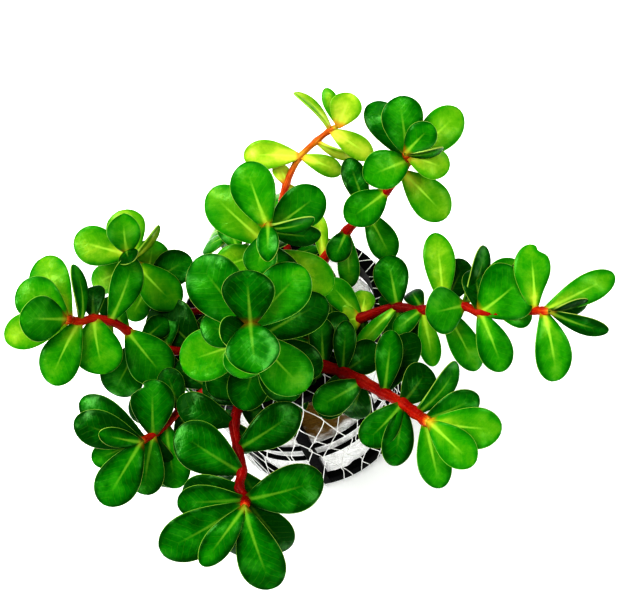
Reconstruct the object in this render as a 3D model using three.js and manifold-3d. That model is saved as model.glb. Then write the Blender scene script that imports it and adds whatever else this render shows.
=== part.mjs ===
// A potted bunch of a red-stemmed water plant with thick, spoon-shaped leaves.
// Millimetres, +Z up, origin in the middle of the pot's underside.
import * as THREE from "three";
import { mergeVertices } from "three/addons/utils/BufferGeometryUtils.js";
import Module from "manifold-3d";

const wasm = await Module();
wasm.setup();
const RAD = Math.PI / 180;

// The pot: a tapered basket with a flange, upright ribs and thin hoops.
const POT = {
  height: 38,
  flangeRadius: 25,
  flangeThick: 2,
  wallTop: 23.2,
  wallFoot: 20.8,
  wallThick: 1.2,
  collar: 5,
  footBand: 2.6,
  footBandThick: 1.8,
  ribs: 8,
  ribWidth: 2.6,
  ribTurn: -14 * RAD,
  hoops: [12, 16.2],
  hoopTall: 0.8,
  floorThick: 1.2,
  floorHoles: 4,
  floorHoleRadius: 3.4,
  floorHoleRing: 12.5,
  facets: 20,
};
// The wool plug that fills the pot, and the netting drawn over the pot.
const PLUG = { top: 35.5, crown: 1.5, clearance: 0.35, facets: 16, rootDepth: 4 };
const NET = { strands: 7, thick: 0.5, gap: 0.7, foot: 1, top: 38.6, sweep: 70 * RAD, steps: 4 };

// The shoots are laid out as an eye 44 degrees above the table sees them: to the right, up and
// toward the eye, in mm from the middle of the pot's mouth. The eye's own lean is SIDE_LEAN.
const EYE_HEIGHT = 44 * RAD;
const SIDE_LEAN = 22.5 * RAD;
const STEM = { sides: 4, stepsPerNode: 2 };

// A leaf is pulled out of a coarse sphere into a blade with a keel under it. Its widest part lies
// past the middle, its edges lift by a share of its width, and its tip bends back.
const LEAF = {
  meridians: 3,
  rows: 4,
  widthRatio: 0.62,
  widestPower: 1.6,
  fullness: 0.54,
  thick: 1.0,
  cup: 0.12,
  recurve: 0.1,
  foot: 0.6,
  room: 0.42,
};

// Each shoot: where it roots on the plug, its stem's radius, and its nodes from the root to the
// tip. A node is its place, then its leaves, and a leaf is its clock angle (0 points right, 90 up),
// its lean toward the eye, its length, then its width and its roll about its midrib if not plain.
const SHOOTS = {
  back: { root: [1, 8], radius: 0.9, nodes: [
    [[0, 18, 0], [165, -15, 10.3], [12, -30, 9.3]],
    [[2, 29, 2], [115, 0, 4.9, 4.4, 30], [-60, -40, 8.2]],
    [[5.1, 34.9, 3], [178, 0, 12.6, 6.6], [-19, -10, 10, 4.6]],
    [[8.7, 38.2, 4], [-25, -8, 9.8, 3.6, 64]],
    [[11.6, 40.3, 5], [134, 5, 11.4, 4, 52], [-34, 5, 11, 5.3]],
    [[13.4, 41.1, 6], [110, 10, 8.5, 3.5], [69, 20, 7.4, 6.9]]] },
  backRight: { root: [6, 5], radius: 1.1, nodes: [
    [[10.1, 12.2, 3], [94, 5, 10.4, 3.5], [-80, -5, 8.2, 4.4]],
    [[15.1, 18.2, 8], [-113, 10, 7.2, 5.5], [-88, -10, 12.5, 4.8]],
    [[19.1, 22.1, 11], [109, -5, 12.3, 5.4], [-61, -5, 11.7, 6.5]],
    [[22.9, 25.8, 14], [-140, 15, 10.5, 7.6]],
    [[26, 29.6, 17], [-45, 0, 13.2, 8.1]],
    [[27, 31.5, 20], [-155, 20, 10.3, 8.1], [41, 5, 14.4, 7.9], [123, -8, 14.6, 7]],
    [[26.5, 32.2, 22], [101, 5, 11.7, 8.4], [-22, 5, 8.8, 6.3]],
    [[26.1, 32.4, 24], [47, 30, 7.6, 5.9], [3, 10, 7.3, 3, 68]]] },
  crown: { root: [-1, 3], radius: 1.1, nodes: [
    [[-1, 8, 16], [165, -15, 10.3], [-5, -20, 10.3], [100, -60, 9.3, 6.6]],
    [[-1.4, 12.6, 26], [-30, 0, 14.8, 8.8], [-162, 5, 10.3, 7], [75, -62, 10.3, 7]],
    [[-1, 14, 31], [140, 0, 14.8, 8.6], [-60, -5, 10.3, 6.6], [130, -60, 9.7, 6.6]],
    [[-0.6, 15.6, 36], [36, 0, 12.8, 8.1], [-104, 20, 8.2, 6.2], [70, -58, 9.3, 6.2]],
    [[-0.4, 16.4, 39], [111, 5, 12.4, 8.1], [-12, 5, 9.7, 4.8, 35]],
    [[-0.2, 16.6, 41], [3, 20, 8.7, 3.6, 55], [-88, 38, 7.6, 4]]] },
  frontCrown: { root: [-2, -3], radius: 1.1, nodes: [
    [[-2, -6, 15], [-135, 10, 15, 9.5], [-88, 5, 16.1, 6.6], [-62, 0, 15.9, 6.6]],
    [[-2.6, -5, 22], [-60, 5, 13.4, 8.4], [-105, 5, 13.9, 8.4], [-27, 8, 13.4, 8.1], [100, -60, 9.3, 6.6]],
    [[-3, -4, 28], [31, 0, 15.5, 8.4], [-164, -5, 16.1, 10.1], [66, -58, 9.7, 6.6]],
    [[-3.2, -3, 33], [172, 0, 10.3, 7], [-50, -5, 14.4, 9.5], [125, -60, 9.3, 6.6]],
    [[-3.4, -1.6, 39], [130, 5, 15.9, 10.3], [-100, 0, 9.3, 7.7]],
    [[-3.3, -0.9, 43], [46, 5, 13.8, 9.2], [-150, 55, 8.2, 6.6]],
    [[-3, -0.7, 46], [92, 10, 9.3, 9.2], [-82, 35, 9.7, 9.2]]] },
  inner: { root: [3, -1], radius: 1.0, nodes: [
    [[6, -7, 12], [-98, 25, 12.4, 7], [-45, 15, 11.3, 7]],
    [[7.6, -5, 12.6], [-62, 0, 11.3, 7], [30, -10, 9.3, 5.9]],
    [[8.4, -4.6, 14], [-157, 0, 5.5, 5.9], [120, -5, 6, 6.6]]] },
  left: { root: [-8, 1], radius: 1.1, nodes: [
    [[-17, -8, 2], [-110, -15, 10.3, 6.8], [135, 0, 14.6, 11.2]],
    [[-24, -7.4, 4.5], [-84, -20, 10.3, 6.8], [95, -20, 9.3, 6.2]],
    [[-29, -5.6, 7], [-118, -8, 13.8, 9.7], [45, -30, 8.2, 5.5]],
    [[-31.6, -3.2, 9], [-50, 0, 13.2, 10.1], [126, -10, 9.3, 5.5]],
    [[-35, -1, 11], [66, 0, 14.4, 7, 25], [-115, -25, 10.3]],
    [[-38, -0.4, 12], [-82, 5, 11.9, 10.3], [100, -30, 8.2, 5.5]],
    [[-40.5, -1, 14], [-118, 5, 14.4, 8.6], [91, 5, 11.9, 4.2, 58]],
    [[-42, -0.6, 16], [-166, 5, 14, 7.5], [120, -8, 15, 8.8]],
    [[-42.2, -0.5, 17.4], [142, 8, 11.7, 9.2]],
    [[-42.6, -0.4, 18.6], [175, 55, 9.9, 9.2]]] },
  backLeft: { root: [-6, 6], radius: 0.9, nodes: [
    [[-15, 1, -4], [-110, -5, 10.3], [70, -20, 9.3]],
    [[-24.6, 1.6, -1], [-62, 5, 11.3, 9.9], [150, -20, 9.3]],
    [[-28.4, 6.8, 1], [34, 5, 11.1, 8.1], [-118, -5, 9.3, 5.9]],
    [[-28.8, 7.6, 1.6], [80, -6, 9.5, 8.1]],
    [[-31, 11.4, 3], [-47, 5, 13.2, 8.8], [-156, -20, 13.4, 6.6]],
    [[-31.6, 12.6, 4], [104, -5, 11.1, 8.8], [43, 5, 9.3, 4, 76]],
    [[-31.8, 13.2, 6], [167, 5, 12.4, 8.6]],
    [[-31.8, 13.8, 8], [92, 38, 9.1, 7.3], [-60, 65, 6.2, 4.8]]] },
  frontLeft: { root: [-7, -5], radius: 1.0, nodes: [
    [[-14, -15, 10], [150, -10, 9.3, 5.9], [-60, -10, 8.2, 5.5]],
    [[-20, -19.6, 12], [110, -5, 9.3, 5.9], [-75, -20, 9.3, 5.9]],
    [[-22.6, -22.4, 14], [-82, 5, 13.4, 7.7], [150, -20, 10.3, 6.2]],
    [[-25, -24.4, 15.5], [90, 5, 11.5, 9.2], [-100, 5, 12.4, 7.7], [-75, -10, 12.4, 6.6]],
    [[-26.6, -25, 17], [-158, 0, 11.8, 5.9], [147, 0, 15.5, 7]],
    [[-26.8, -25.2, 19], [-118, 10, 14.4, 8.8], [159, 12, 14, 7.7], [163, 40, 9.7, 4]]] },
  front: { root: [-3, -9], radius: 1.2, nodes: [
    [[-7, -17.4, 17], [155, -15, 9.3, 5.9], [-40, -20, 9.3, 5.5]],
    [[-8, -21.4, 20], [161, 0, 12.4, 7], [-60, -25, 8.2, 5.5]],
    [[-7, -26, 23], [31, 5, 14.4, 8.1], [-130, -25, 10.3, 6.6]],
    [[-6, -30, 26], [149, 0, 15.2, 9.7], [-60, -25, 11.3, 7.3]],
    [[-6.4, -32.4, 28], [-170, -10, 11.8, 7.5]],
    [[-5, -34.3, 30], [14, 5, 15.2, 9.2], [-178, -5, 13.4, 6.6], [-50, -8, 13.4, 7.3]],
    [[-5, -34.8, 32], [-150, 5, 18.1, 9], [-100, -25, 13.4, 5.5]],
    [[-5, -35, 33.5], [-72, 0, 16.3, 8.6], [-129, 25, 12.8, 5.5]]] },
  frontRight: { root: [5, -7], radius: 1.4, nodes: [
    [[10, -10.2, 15], [94, 5, 10, 5.5], [-115, -15, 8.2, 6.6]],
    [[13.9, -11.3, 17], [88, 5, 10.6, 4.8], [32, -5, 9.2, 7], [-111, 0, 10.3, 6.6]],
    [[17.6, -12.9, 20], [-149, 5, 11, 6.8], [-106, -25, 9.6, 7]],
    [[21.8, -14.9, 23], [84, 0, 12.5, 5.5], [64, -12, 13.7, 6.6]],
    [[25.1, -16.6, 26], [48, -14, 9.2, 7.3], [-133, 5, 11, 6.9], [-97, 8, 12.2, 6.2]],
    [[27.3, -18.1, 28.5], [44, -5, 12.8, 5.1, 26]],
    [[28.9, -19.2, 31], [-80, 0, 13.4, 6.4], [25, 12, 11, 5.9]],
    [[29.4, -19.3, 33], [-7, 5, 13.5, 7.8], [-42, 15, 11.2, 6.9]]] },
  right: { root: [9, -2], radius: 1.1, nodes: [
    [[12.6, -2, 5], [100, -5, 9.3, 6.6], [-60, 5, 9.3, 6.6]],
    [[18, -0.4, 9], [132, 0, 10.9, 5.9], [76, -30, 7.2, 4.8], [-170, 8, 4.7, 6.6], [-75, -20, 9.3, 5.9]],
    [[25.5, 1.9, 12], [102, 0, 11.1, 7.5], [-134, 5, 12.6, 3.7, 20], [144, -40, 5.4, 3.3], [-90, -12, 7.8, 5.9]],
    [[30.4, 1.3, 15], [-80, 0, 11.9, 4.6], [117, -50, 7.5, 4.4], [-141, 0, 7.4, 4.2, 20], [-97, -16, 9.8, 6.6]],
    [[34.1, 2.4, 18], [93, 0, 14.8, 6.5], [-63, 0, 15.3, 6.2], [59, -10, 10.8, 6.4]],
    [[37.9, 2.3, 20], [-170, 30, 9.2, 9.5], [69, 0, 13, 5.1, 36]],
    [[40.9, 1, 22], [-70, 5, 12.6, 6.9], [54, 0, 13, 8.5], [94, -15, 9.2, 5.9], [38, 14, 11.2, 12.1]],
    [[44.4, 0.9, 23], [-1, 4, 6.8, 5.7]],
    [[51.2, 1.4, 24], [97, 5, 13, 7.3], [109, -6, 10.3, 5.5]],
    [[52.4, 1.3, 26], [30, 5, 15.5, 5.8], [-76, 0, 14, 7.3]],
    [[53.6, 1.3, 27.2], [-22, 15, 11.3, 3.9, 28], [13, 10, 7.3, 4.2, 44]]] },
  rearLeft: { root: [-3, 11], radius: 1.0, nodes: [
    [[-7, 8, -9.4], [23, 0, 8, 5, -50], [-157, 0, 8, 5, 50]],
    [[-9.6, 15, -12.4], [113, -15, 9, 6], [110, -80, 9, 6]],
    [[-11.4, 18.8, -16.4], [23, -10, 10, 7, -55], [-157, -20, 9, 6.4, 55]],
    [[-13, 20.6, -20.6], [113, -30, 9, 7], [-70, -70, 10, 7]],
    [[-13.8, 21.4, -23.6], [-157, -50, 11, 7, 50], [50, -40, 10, 7.2, -40], [113, -60, 9, 6.4]]] },
  rearRight: { root: [6, 11], radius: 1.0, nodes: [
    [[2.4, 12.4, -9.4], [23, 0, 8, 5, -50], [-157, 0, 8, 5, 50]],
    [[1.4, 19.8, -11.8], [113, -25, 9, 6], [110, -80, 9, 6]],
    [[1.4, 24.6, -15.8], [23, -15, 10, 7, -55], [-157, -15, 10, 7, 55]],
    [[1.8, 26.6, -20], [113, -60, 10, 7], [-70, -70, 10, 7]],
    [[2.2, 27.6, -23.4], [-157, -45, 11, 7, 50], [23, -45, 11, 7, -50], [113, -80, 9, 6.4]]] },
};

const COLOURS = {
  pot: { color: "#15171a", roughness: 0.4, metalness: 0 },
  net: { color: "#e9e9e4", roughness: 0.6, metalness: 0 },
  wool: { color: "#c9c6bb", roughness: 1, metalness: 0 },
  shoot: { color: "#3f9a24", roughness: 0.4, metalness: 0 },
};

// A closed geometry as a solid, and a solid as a geometry.
function solidOf(geometry) {
  const bare = new THREE.BufferGeometry();
  bare.setAttribute("position", geometry.getAttribute("position"));
  bare.setIndex(geometry.index);
  const merged = mergeVertices(bare, 1e-4);
  const kept = [];
  const index = merged.index.array;
  for (let i = 0; i < index.length; i += 3) {
    const [a, b, c] = index.subarray(i, i + 3);
    if (a !== b && b !== c && c !== a) kept.push(a, b, c);
  }
  return new wasm.Manifold(
    new wasm.Mesh({
      numProp: 3,
      vertProperties: new Float32Array(merged.attributes.position.array),
      triVerts: new Uint32Array(kept),
    }),
  );
}

function geometryOf(solid) {
  const mesh = solid.getMesh();
  const geometry = new THREE.BufferGeometry();
  geometry.setAttribute("position", new THREE.BufferAttribute(mesh.vertProperties, 3));
  geometry.setIndex(new THREE.BufferAttribute(mesh.triVerts, 1));
  const flat = geometry.toNonIndexed();
  flat.computeVertexNormals();
  return flat;
}

const joined = (geometries) => geometries.map(solidOf).reduce((a, b) => a.add(b));

// A solid of revolution about Z from closed [radius, height] corners, listed anticlockwise.
function turned(corners, facets) {
  const profile = [...corners, corners[0]].map(([r, z]) => new THREE.Vector2(r, z));
  return new THREE.LatheGeometry(profile, facets).rotateX(Math.PI / 2);
}

// The outside of the pot's wall at a height: a straight taper.
const wallRadius = (z) => POT.wallFoot + ((POT.wallTop - POT.wallFoot) * z) / POT.height;

// A tapered band of the wall between two heights.
function wallBand(low, high, thick) {
  const [a, b] = [wallRadius(low), wallRadius(high)];
  return turned([[a - thick, low], [a, low], [b, high], [b - thick, high]], POT.facets);
}

// One upright rib: the wall's own slanted section, pushed sideways by the rib's width.
function rib(turn) {
  const [low, high] = [0.5, POT.height - 1];
  const section = new THREE.Shape([
    new THREE.Vector2(wallRadius(low) - POT.wallThick, low),
    new THREE.Vector2(wallRadius(low) + 0.15, low),
    new THREE.Vector2(wallRadius(high) + 0.15, high),
    new THREE.Vector2(wallRadius(high) - POT.wallThick, high),
  ]);
  const bar = new THREE.ExtrudeGeometry(section, { depth: POT.ribWidth, bevelEnabled: false });
  bar.translate(0, 0, -POT.ribWidth / 2);
  return bar.rotateX(Math.PI / 2).rotateZ(turn);
}

function floorHole(turn) {
  const hole = new THREE.CylinderGeometry(POT.floorHoleRadius, POT.floorHoleRadius, 6, 8);
  hole.rotateX(Math.PI / 2).translate(POT.floorHoleRing, 0, 0);
  return hole.rotateZ(turn);
}

// The floor with the foot band that stands around it.
function makeFoot() {
  const { floorThick, footBand, footBandThick } = POT;
  return turned([
    [0, 0],
    [wallRadius(0), 0],
    [wallRadius(footBand), footBand],
    [wallRadius(footBand) - footBandThick, footBand],
    [wallRadius(0) - footBandThick, floorThick],
    [0, floorThick],
  ], POT.facets);
}

// The plain band at the top of the wall with the flange around its mouth.
function makeCollar() {
  const { height, collar, wallThick, flangeRadius, flangeThick } = POT;
  const [low, under] = [height - collar, height - flangeThick];
  return turned([
    [wallRadius(low) - wallThick, low],
    [wallRadius(low), low],
    [wallRadius(under), under],
    [flangeRadius, under],
    [flangeRadius, height],
    [wallRadius(height) - wallThick, height],
  ], POT.facets);
}

function makePot() {
  const parts = [
    makeFoot(),
    makeCollar(),
    ...POT.hoops.map((z) => wallBand(z, z + POT.hoopTall, POT.wallThick * 0.8)),
  ];
  for (let i = 0; i < POT.ribs; i++) parts.push(rib(POT.ribTurn + (i * 2 * Math.PI) / POT.ribs));
  const holes = [];
  for (let i = 0; i < POT.floorHoles; i++) holes.push(floorHole((i * 2 * Math.PI) / POT.floorHoles));
  return joined(parts).subtract(joined(holes));
}

// A straight stub of round bar, upright, between two heights.
function stub([x, y], radius, low, high, sides = 5) {
  const bar = new THREE.CylinderGeometry(radius, radius, high - low, sides);
  return bar.rotateX(Math.PI / 2).translate(x, y, (low + high) / 2);
}

function makeSockets() {
  const { clearance, top, rootDepth } = PLUG;
  return joined(Object.values(SHOOTS).map(({ root, radius }) =>
    stub(root, radius + clearance * 2, top - rootDepth, top + 1)));
}

function makePlug() {
  const { clearance, top, crown, facets } = PLUG;
  const low = POT.floorThick + clearance;
  const inside = (z) => wallRadius(z) - POT.wallThick - clearance;
  const body = turned([
    [0, low],
    [inside(low) - POT.footBandThick + POT.wallThick, low],
    [inside(POT.footBand) - POT.footBandThick + POT.wallThick, POT.footBand + clearance],
    [inside(POT.footBand), POT.footBand + clearance * 2],
    [inside(top), top - crown],
    [inside(top) * 0.7, top],
    [0, top],
  ], facets);
  return solidOf(body).subtract(makeSockets());
}

// The netting: two families of slanting strands around a cone from the pot's foot to its flange.
function strand(turn, sweep) {
  const points = [];
  for (let i = 0; i <= NET.steps; i++) {
    const t = i / NET.steps;
    const radius = THREE.MathUtils.lerp(wallRadius(0), POT.flangeRadius, t) + NET.gap;
    const angle = turn + sweep * (t - 0.5);
    const z = THREE.MathUtils.lerp(NET.foot, NET.top, t);
    points.push(new THREE.Vector3(radius * Math.cos(angle), radius * Math.sin(angle), z));
  }
  const half = NET.thick / 2;
  const section = new THREE.Shape([
    new THREE.Vector2(half, 0),
    new THREE.Vector2(-half / 2, half),
    new THREE.Vector2(-half / 2, -half),
  ]);
  const extrudePath = new THREE.CatmullRomCurve3(points);
  return new THREE.ExtrudeGeometry(section, { steps: NET.steps, extrudePath });
}

function makeNet() {
  const strands = [];
  for (let i = 0; i < NET.strands; i++) {
    const turn = (i * 2 * Math.PI) / NET.strands;
    strands.push(strand(turn, NET.sweep), strand(turn, -NET.sweep));
  }
  return joined(strands);
}

// The eye's frame: right, up and toward the eye, as columns of a matrix at the pot's mouth.
function eyeFrame() {
  const frame = new THREE.Matrix4().makeRotationZ(-SIDE_LEAN);
  frame.premultiply(new THREE.Matrix4().makeRotationX(Math.PI / 2 - EYE_HEIGHT));
  return frame.setPosition(0, 0, POT.height);
}
const EYE = eyeFrame();

// Half the width of a leaf at t along it, as a share of its greatest half width.
function leafShare(t) {
  const wave = Math.sin(Math.PI * Math.pow(t, LEAF.widestPower));
  return Math.pow(Math.max(wave, 0), LEAF.fullness);
}

// A leaf along +Y with its upper face toward +Z and its foot just behind the origin.
function leaf(length, width, room) {
  const geometry = new THREE.SphereGeometry(1, LEAF.meridians, LEAF.rows);
  const p = geometry.getAttribute("position");
  for (let i = 0; i < p.count; i++) {
    const t = (1 - p.getY(i)) / 2;
    const ring = Math.hypot(p.getX(i), p.getZ(i));
    const inBlade = ring > 1e-6 ? 1 / ring : 0;
    const side = (p.getZ(i) * inBlade) / Math.sin(Math.PI / 3);
    const x = side * (leafShare(t) * (width / 2) + room);
    const face = p.getX(i) * inBlade * (LEAF.thick * (0.8 - 0.4 * t) + room);
    const cup = LEAF.cup * width * Math.pow(side * leafShare(t), 2);
    const bend = LEAF.recurve * length * t * t;
    p.setXYZ(i, x, t * (length + LEAF.foot + room) - LEAF.foot, face + cup - bend);
  }
  return geometry;
}

// Where a leaf stands: +Y along its midrib, +Z its upper face, which looks at the eye unless rolled.
function leafPlace(at, clock, lean, roll) {
  const place = new THREE.Matrix4().makeTranslation(...at);
  place.multiply(new THREE.Matrix4().makeRotationZ((clock - 90) * RAD));
  place.multiply(new THREE.Matrix4().makeRotationX(lean * RAD));
  place.multiply(new THREE.Matrix4().makeRotationY(roll * RAD));
  return place.premultiply(EYE);
}

function nodeLeaves([at, ...leaves], room) {
  return leaves.map(([clock, lean, length, width = length * LEAF.widthRatio, roll = 0]) =>
    leaf(length, width, room).applyMatrix4(leafPlace(at, clock, lean, roll)));
}

// The stem: a smooth curve up out of its socket and through the nodes.
function stem({ root, radius, nodes }, room) {
  const foot = new THREE.Vector3(...root, PLUG.top - PLUG.rootDepth + PLUG.clearance);
  const out = new THREE.Vector3(...root, PLUG.top + 1);
  const places = nodes.map(([at]) => new THREE.Vector3(...at).applyMatrix4(EYE));
  const extrudePath = new THREE.CatmullRomCurve3([foot, out, ...places]);
  const section = new THREE.Shape();
  for (let i = 0; i < STEM.sides; i++) {
    const turn = (i * 2 * Math.PI) / STEM.sides;
    const corner = [(radius + room) * Math.cos(turn), (radius + room) * Math.sin(turn)];
    if (i === 0) section.moveTo(...corner);
    else section.lineTo(...corner);
  }
  section.closePath();
  const steps = STEM.stepsPerNode * (nodes.length + 1);
  return new THREE.ExtrudeGeometry(section, { steps, extrudePath });
}

function makeShoot(shoot, room = 0) {
  const leaves = shoot.nodes.flatMap((node) => nodeLeaves(node, room));
  return joined([stem(shoot, room), ...leaves]);
}

// The room that the pot, its netting and the plug need, which no leaf enters.
function potRoom() {
  const inside = POT.wallTop - POT.wallThick - PLUG.clearance;
  const outside = NET.gap + NET.thick + LEAF.room;
  const around = turned([
    [inside, 0],
    [wallRadius(0) + outside, 0],
    [POT.flangeRadius + outside, NET.top + LEAF.room],
    [inside, NET.top + LEAF.room],
  ], POT.facets);
  const low = PLUG.top - PLUG.rootDepth;
  const within = stub([0, 0], inside + 0.5, low, PLUG.top + LEAF.room, POT.facets);
  return joined([around, within]).subtract(makeSockets());
}

// Where two shoots press together, the later one gives way: it is cut back to leave a gap.
function makeShoots() {
  const made = [];
  const kept = [potRoom()];
  for (const shoot of Object.values(SHOOTS)) {
    let solid = makeShoot(shoot);
    for (const other of kept) solid = solid.subtract(other);
    const pieces = solid.decompose().sort((a, b) => b.volume() - a.volume());
    made.push(pieces[0]);
    kept.push(makeShoot(shoot, LEAF.room).add(pieces[0]));
  }
  return made;
}

function meshOf(name, solid, look) {
  const mesh = new THREE.Mesh(geometryOf(solid), new THREE.MeshStandardMaterial(look));
  mesh.name = name;
  return mesh;
}

const plant = new THREE.Group();
plant.add(meshOf("net_pot", makePot(), COLOURS.pot));
plant.add(meshOf("net_sleeve", makeNet(), COLOURS.net));
plant.add(meshOf("rockwool_plug", makePlug(), COLOURS.wool));
const snake = (word) => word.replace(/[A-Z]/g, (letter) => "_" + letter.toLowerCase());
const shootSolids = makeShoots();
Object.keys(SHOOTS).forEach((name, i) =>
  plant.add(meshOf("shoot_" + snake(name), shootSolids[i], COLOURS.shoot)));

export default plant;
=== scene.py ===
"""A potted water plant with red stems and thick spoon-shaped leaves, dressed for a still picture.

Sizes are in millimetres unless a name says otherwise; meshes are made in metres.
"""

import logging
import math
from dataclasses import dataclass
from enum import Enum
from typing import Sequence, Union

import bpy
import numpy as np
from mathutils import Matrix


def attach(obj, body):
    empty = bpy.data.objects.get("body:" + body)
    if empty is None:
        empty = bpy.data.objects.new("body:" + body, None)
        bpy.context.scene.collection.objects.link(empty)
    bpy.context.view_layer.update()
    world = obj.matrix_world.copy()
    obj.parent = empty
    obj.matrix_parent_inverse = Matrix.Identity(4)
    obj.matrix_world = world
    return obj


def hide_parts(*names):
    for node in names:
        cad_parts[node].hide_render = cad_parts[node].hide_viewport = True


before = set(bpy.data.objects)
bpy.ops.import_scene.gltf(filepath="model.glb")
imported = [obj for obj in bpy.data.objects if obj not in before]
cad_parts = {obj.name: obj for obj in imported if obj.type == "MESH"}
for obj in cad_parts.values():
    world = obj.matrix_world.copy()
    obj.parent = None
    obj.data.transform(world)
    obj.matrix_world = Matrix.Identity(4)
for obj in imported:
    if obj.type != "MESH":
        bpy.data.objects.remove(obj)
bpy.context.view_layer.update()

log = logging.getLogger("plant")
MM = 0.001

# The photograph's frame and the eye that takes it.
IMAGE_WIDTH_PX = 619
FOCAL_PX = 900.0
SENSOR_MM = 36.0
EYE_HEIGHT_DEG = 44.0
EYE_LEAN_DEG = 22.5
EYE_DISTANCE = 200.0
EYE_TARGET = (8.0, 0.0, 39.0)

POT_HEIGHT = 38.0
PLUG_TOP = 35.5
ROOT_DEPTH = 4.0

Array = np.ndarray
Random = np.random.Generator
Material = bpy.types.Material
Object = bpy.types.Object
Socket = bpy.types.NodeSocket
Value = Union[Socket, float]
Place = tuple[float, float, float]
Colour = tuple[float, float, float]
Stops = tuple[tuple[float, Colour], ...]
Span = tuple[float, float]
# A smooth step: where it starts, where it ends, its value before and its value after.
Fade = tuple[float, float, float, float]
# A straight line: its slope and its offset.
Line = tuple[float, float]
Row = tuple[float, ...]
NodeRows = tuple[Row, ...]
Grids = dict[str, Array]


class Sap(Enum):
    """How red a shoot's stem is: its place on the stem's colour ramp, from deep red to yellow."""

    DEEP = 0.05
    RED = 0.28
    ORANGE = 0.62


@dataclass(frozen=True)
class ShootPlan:
    """One shoot, laid out as the eye sees it.

    Each row of nodes is a place (right, up, toward the eye, from the middle of the pot's mouth),
    then its leaves: clock angle, lean toward the eye, length, then width, roll and youth if not
    plain. The youth picks the leaf's green by its age and also paints shade: leaves deep among
    the others get low or negative youth and so near-black greens.
    """

    root: tuple[float, float]
    radius: float
    youth_and_shade: float
    sap: Sap
    nodes: tuple[NodeRows, ...]


# The youth numbers paint shade as well as age: leaves deep in the clump get low or negative youth.
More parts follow.
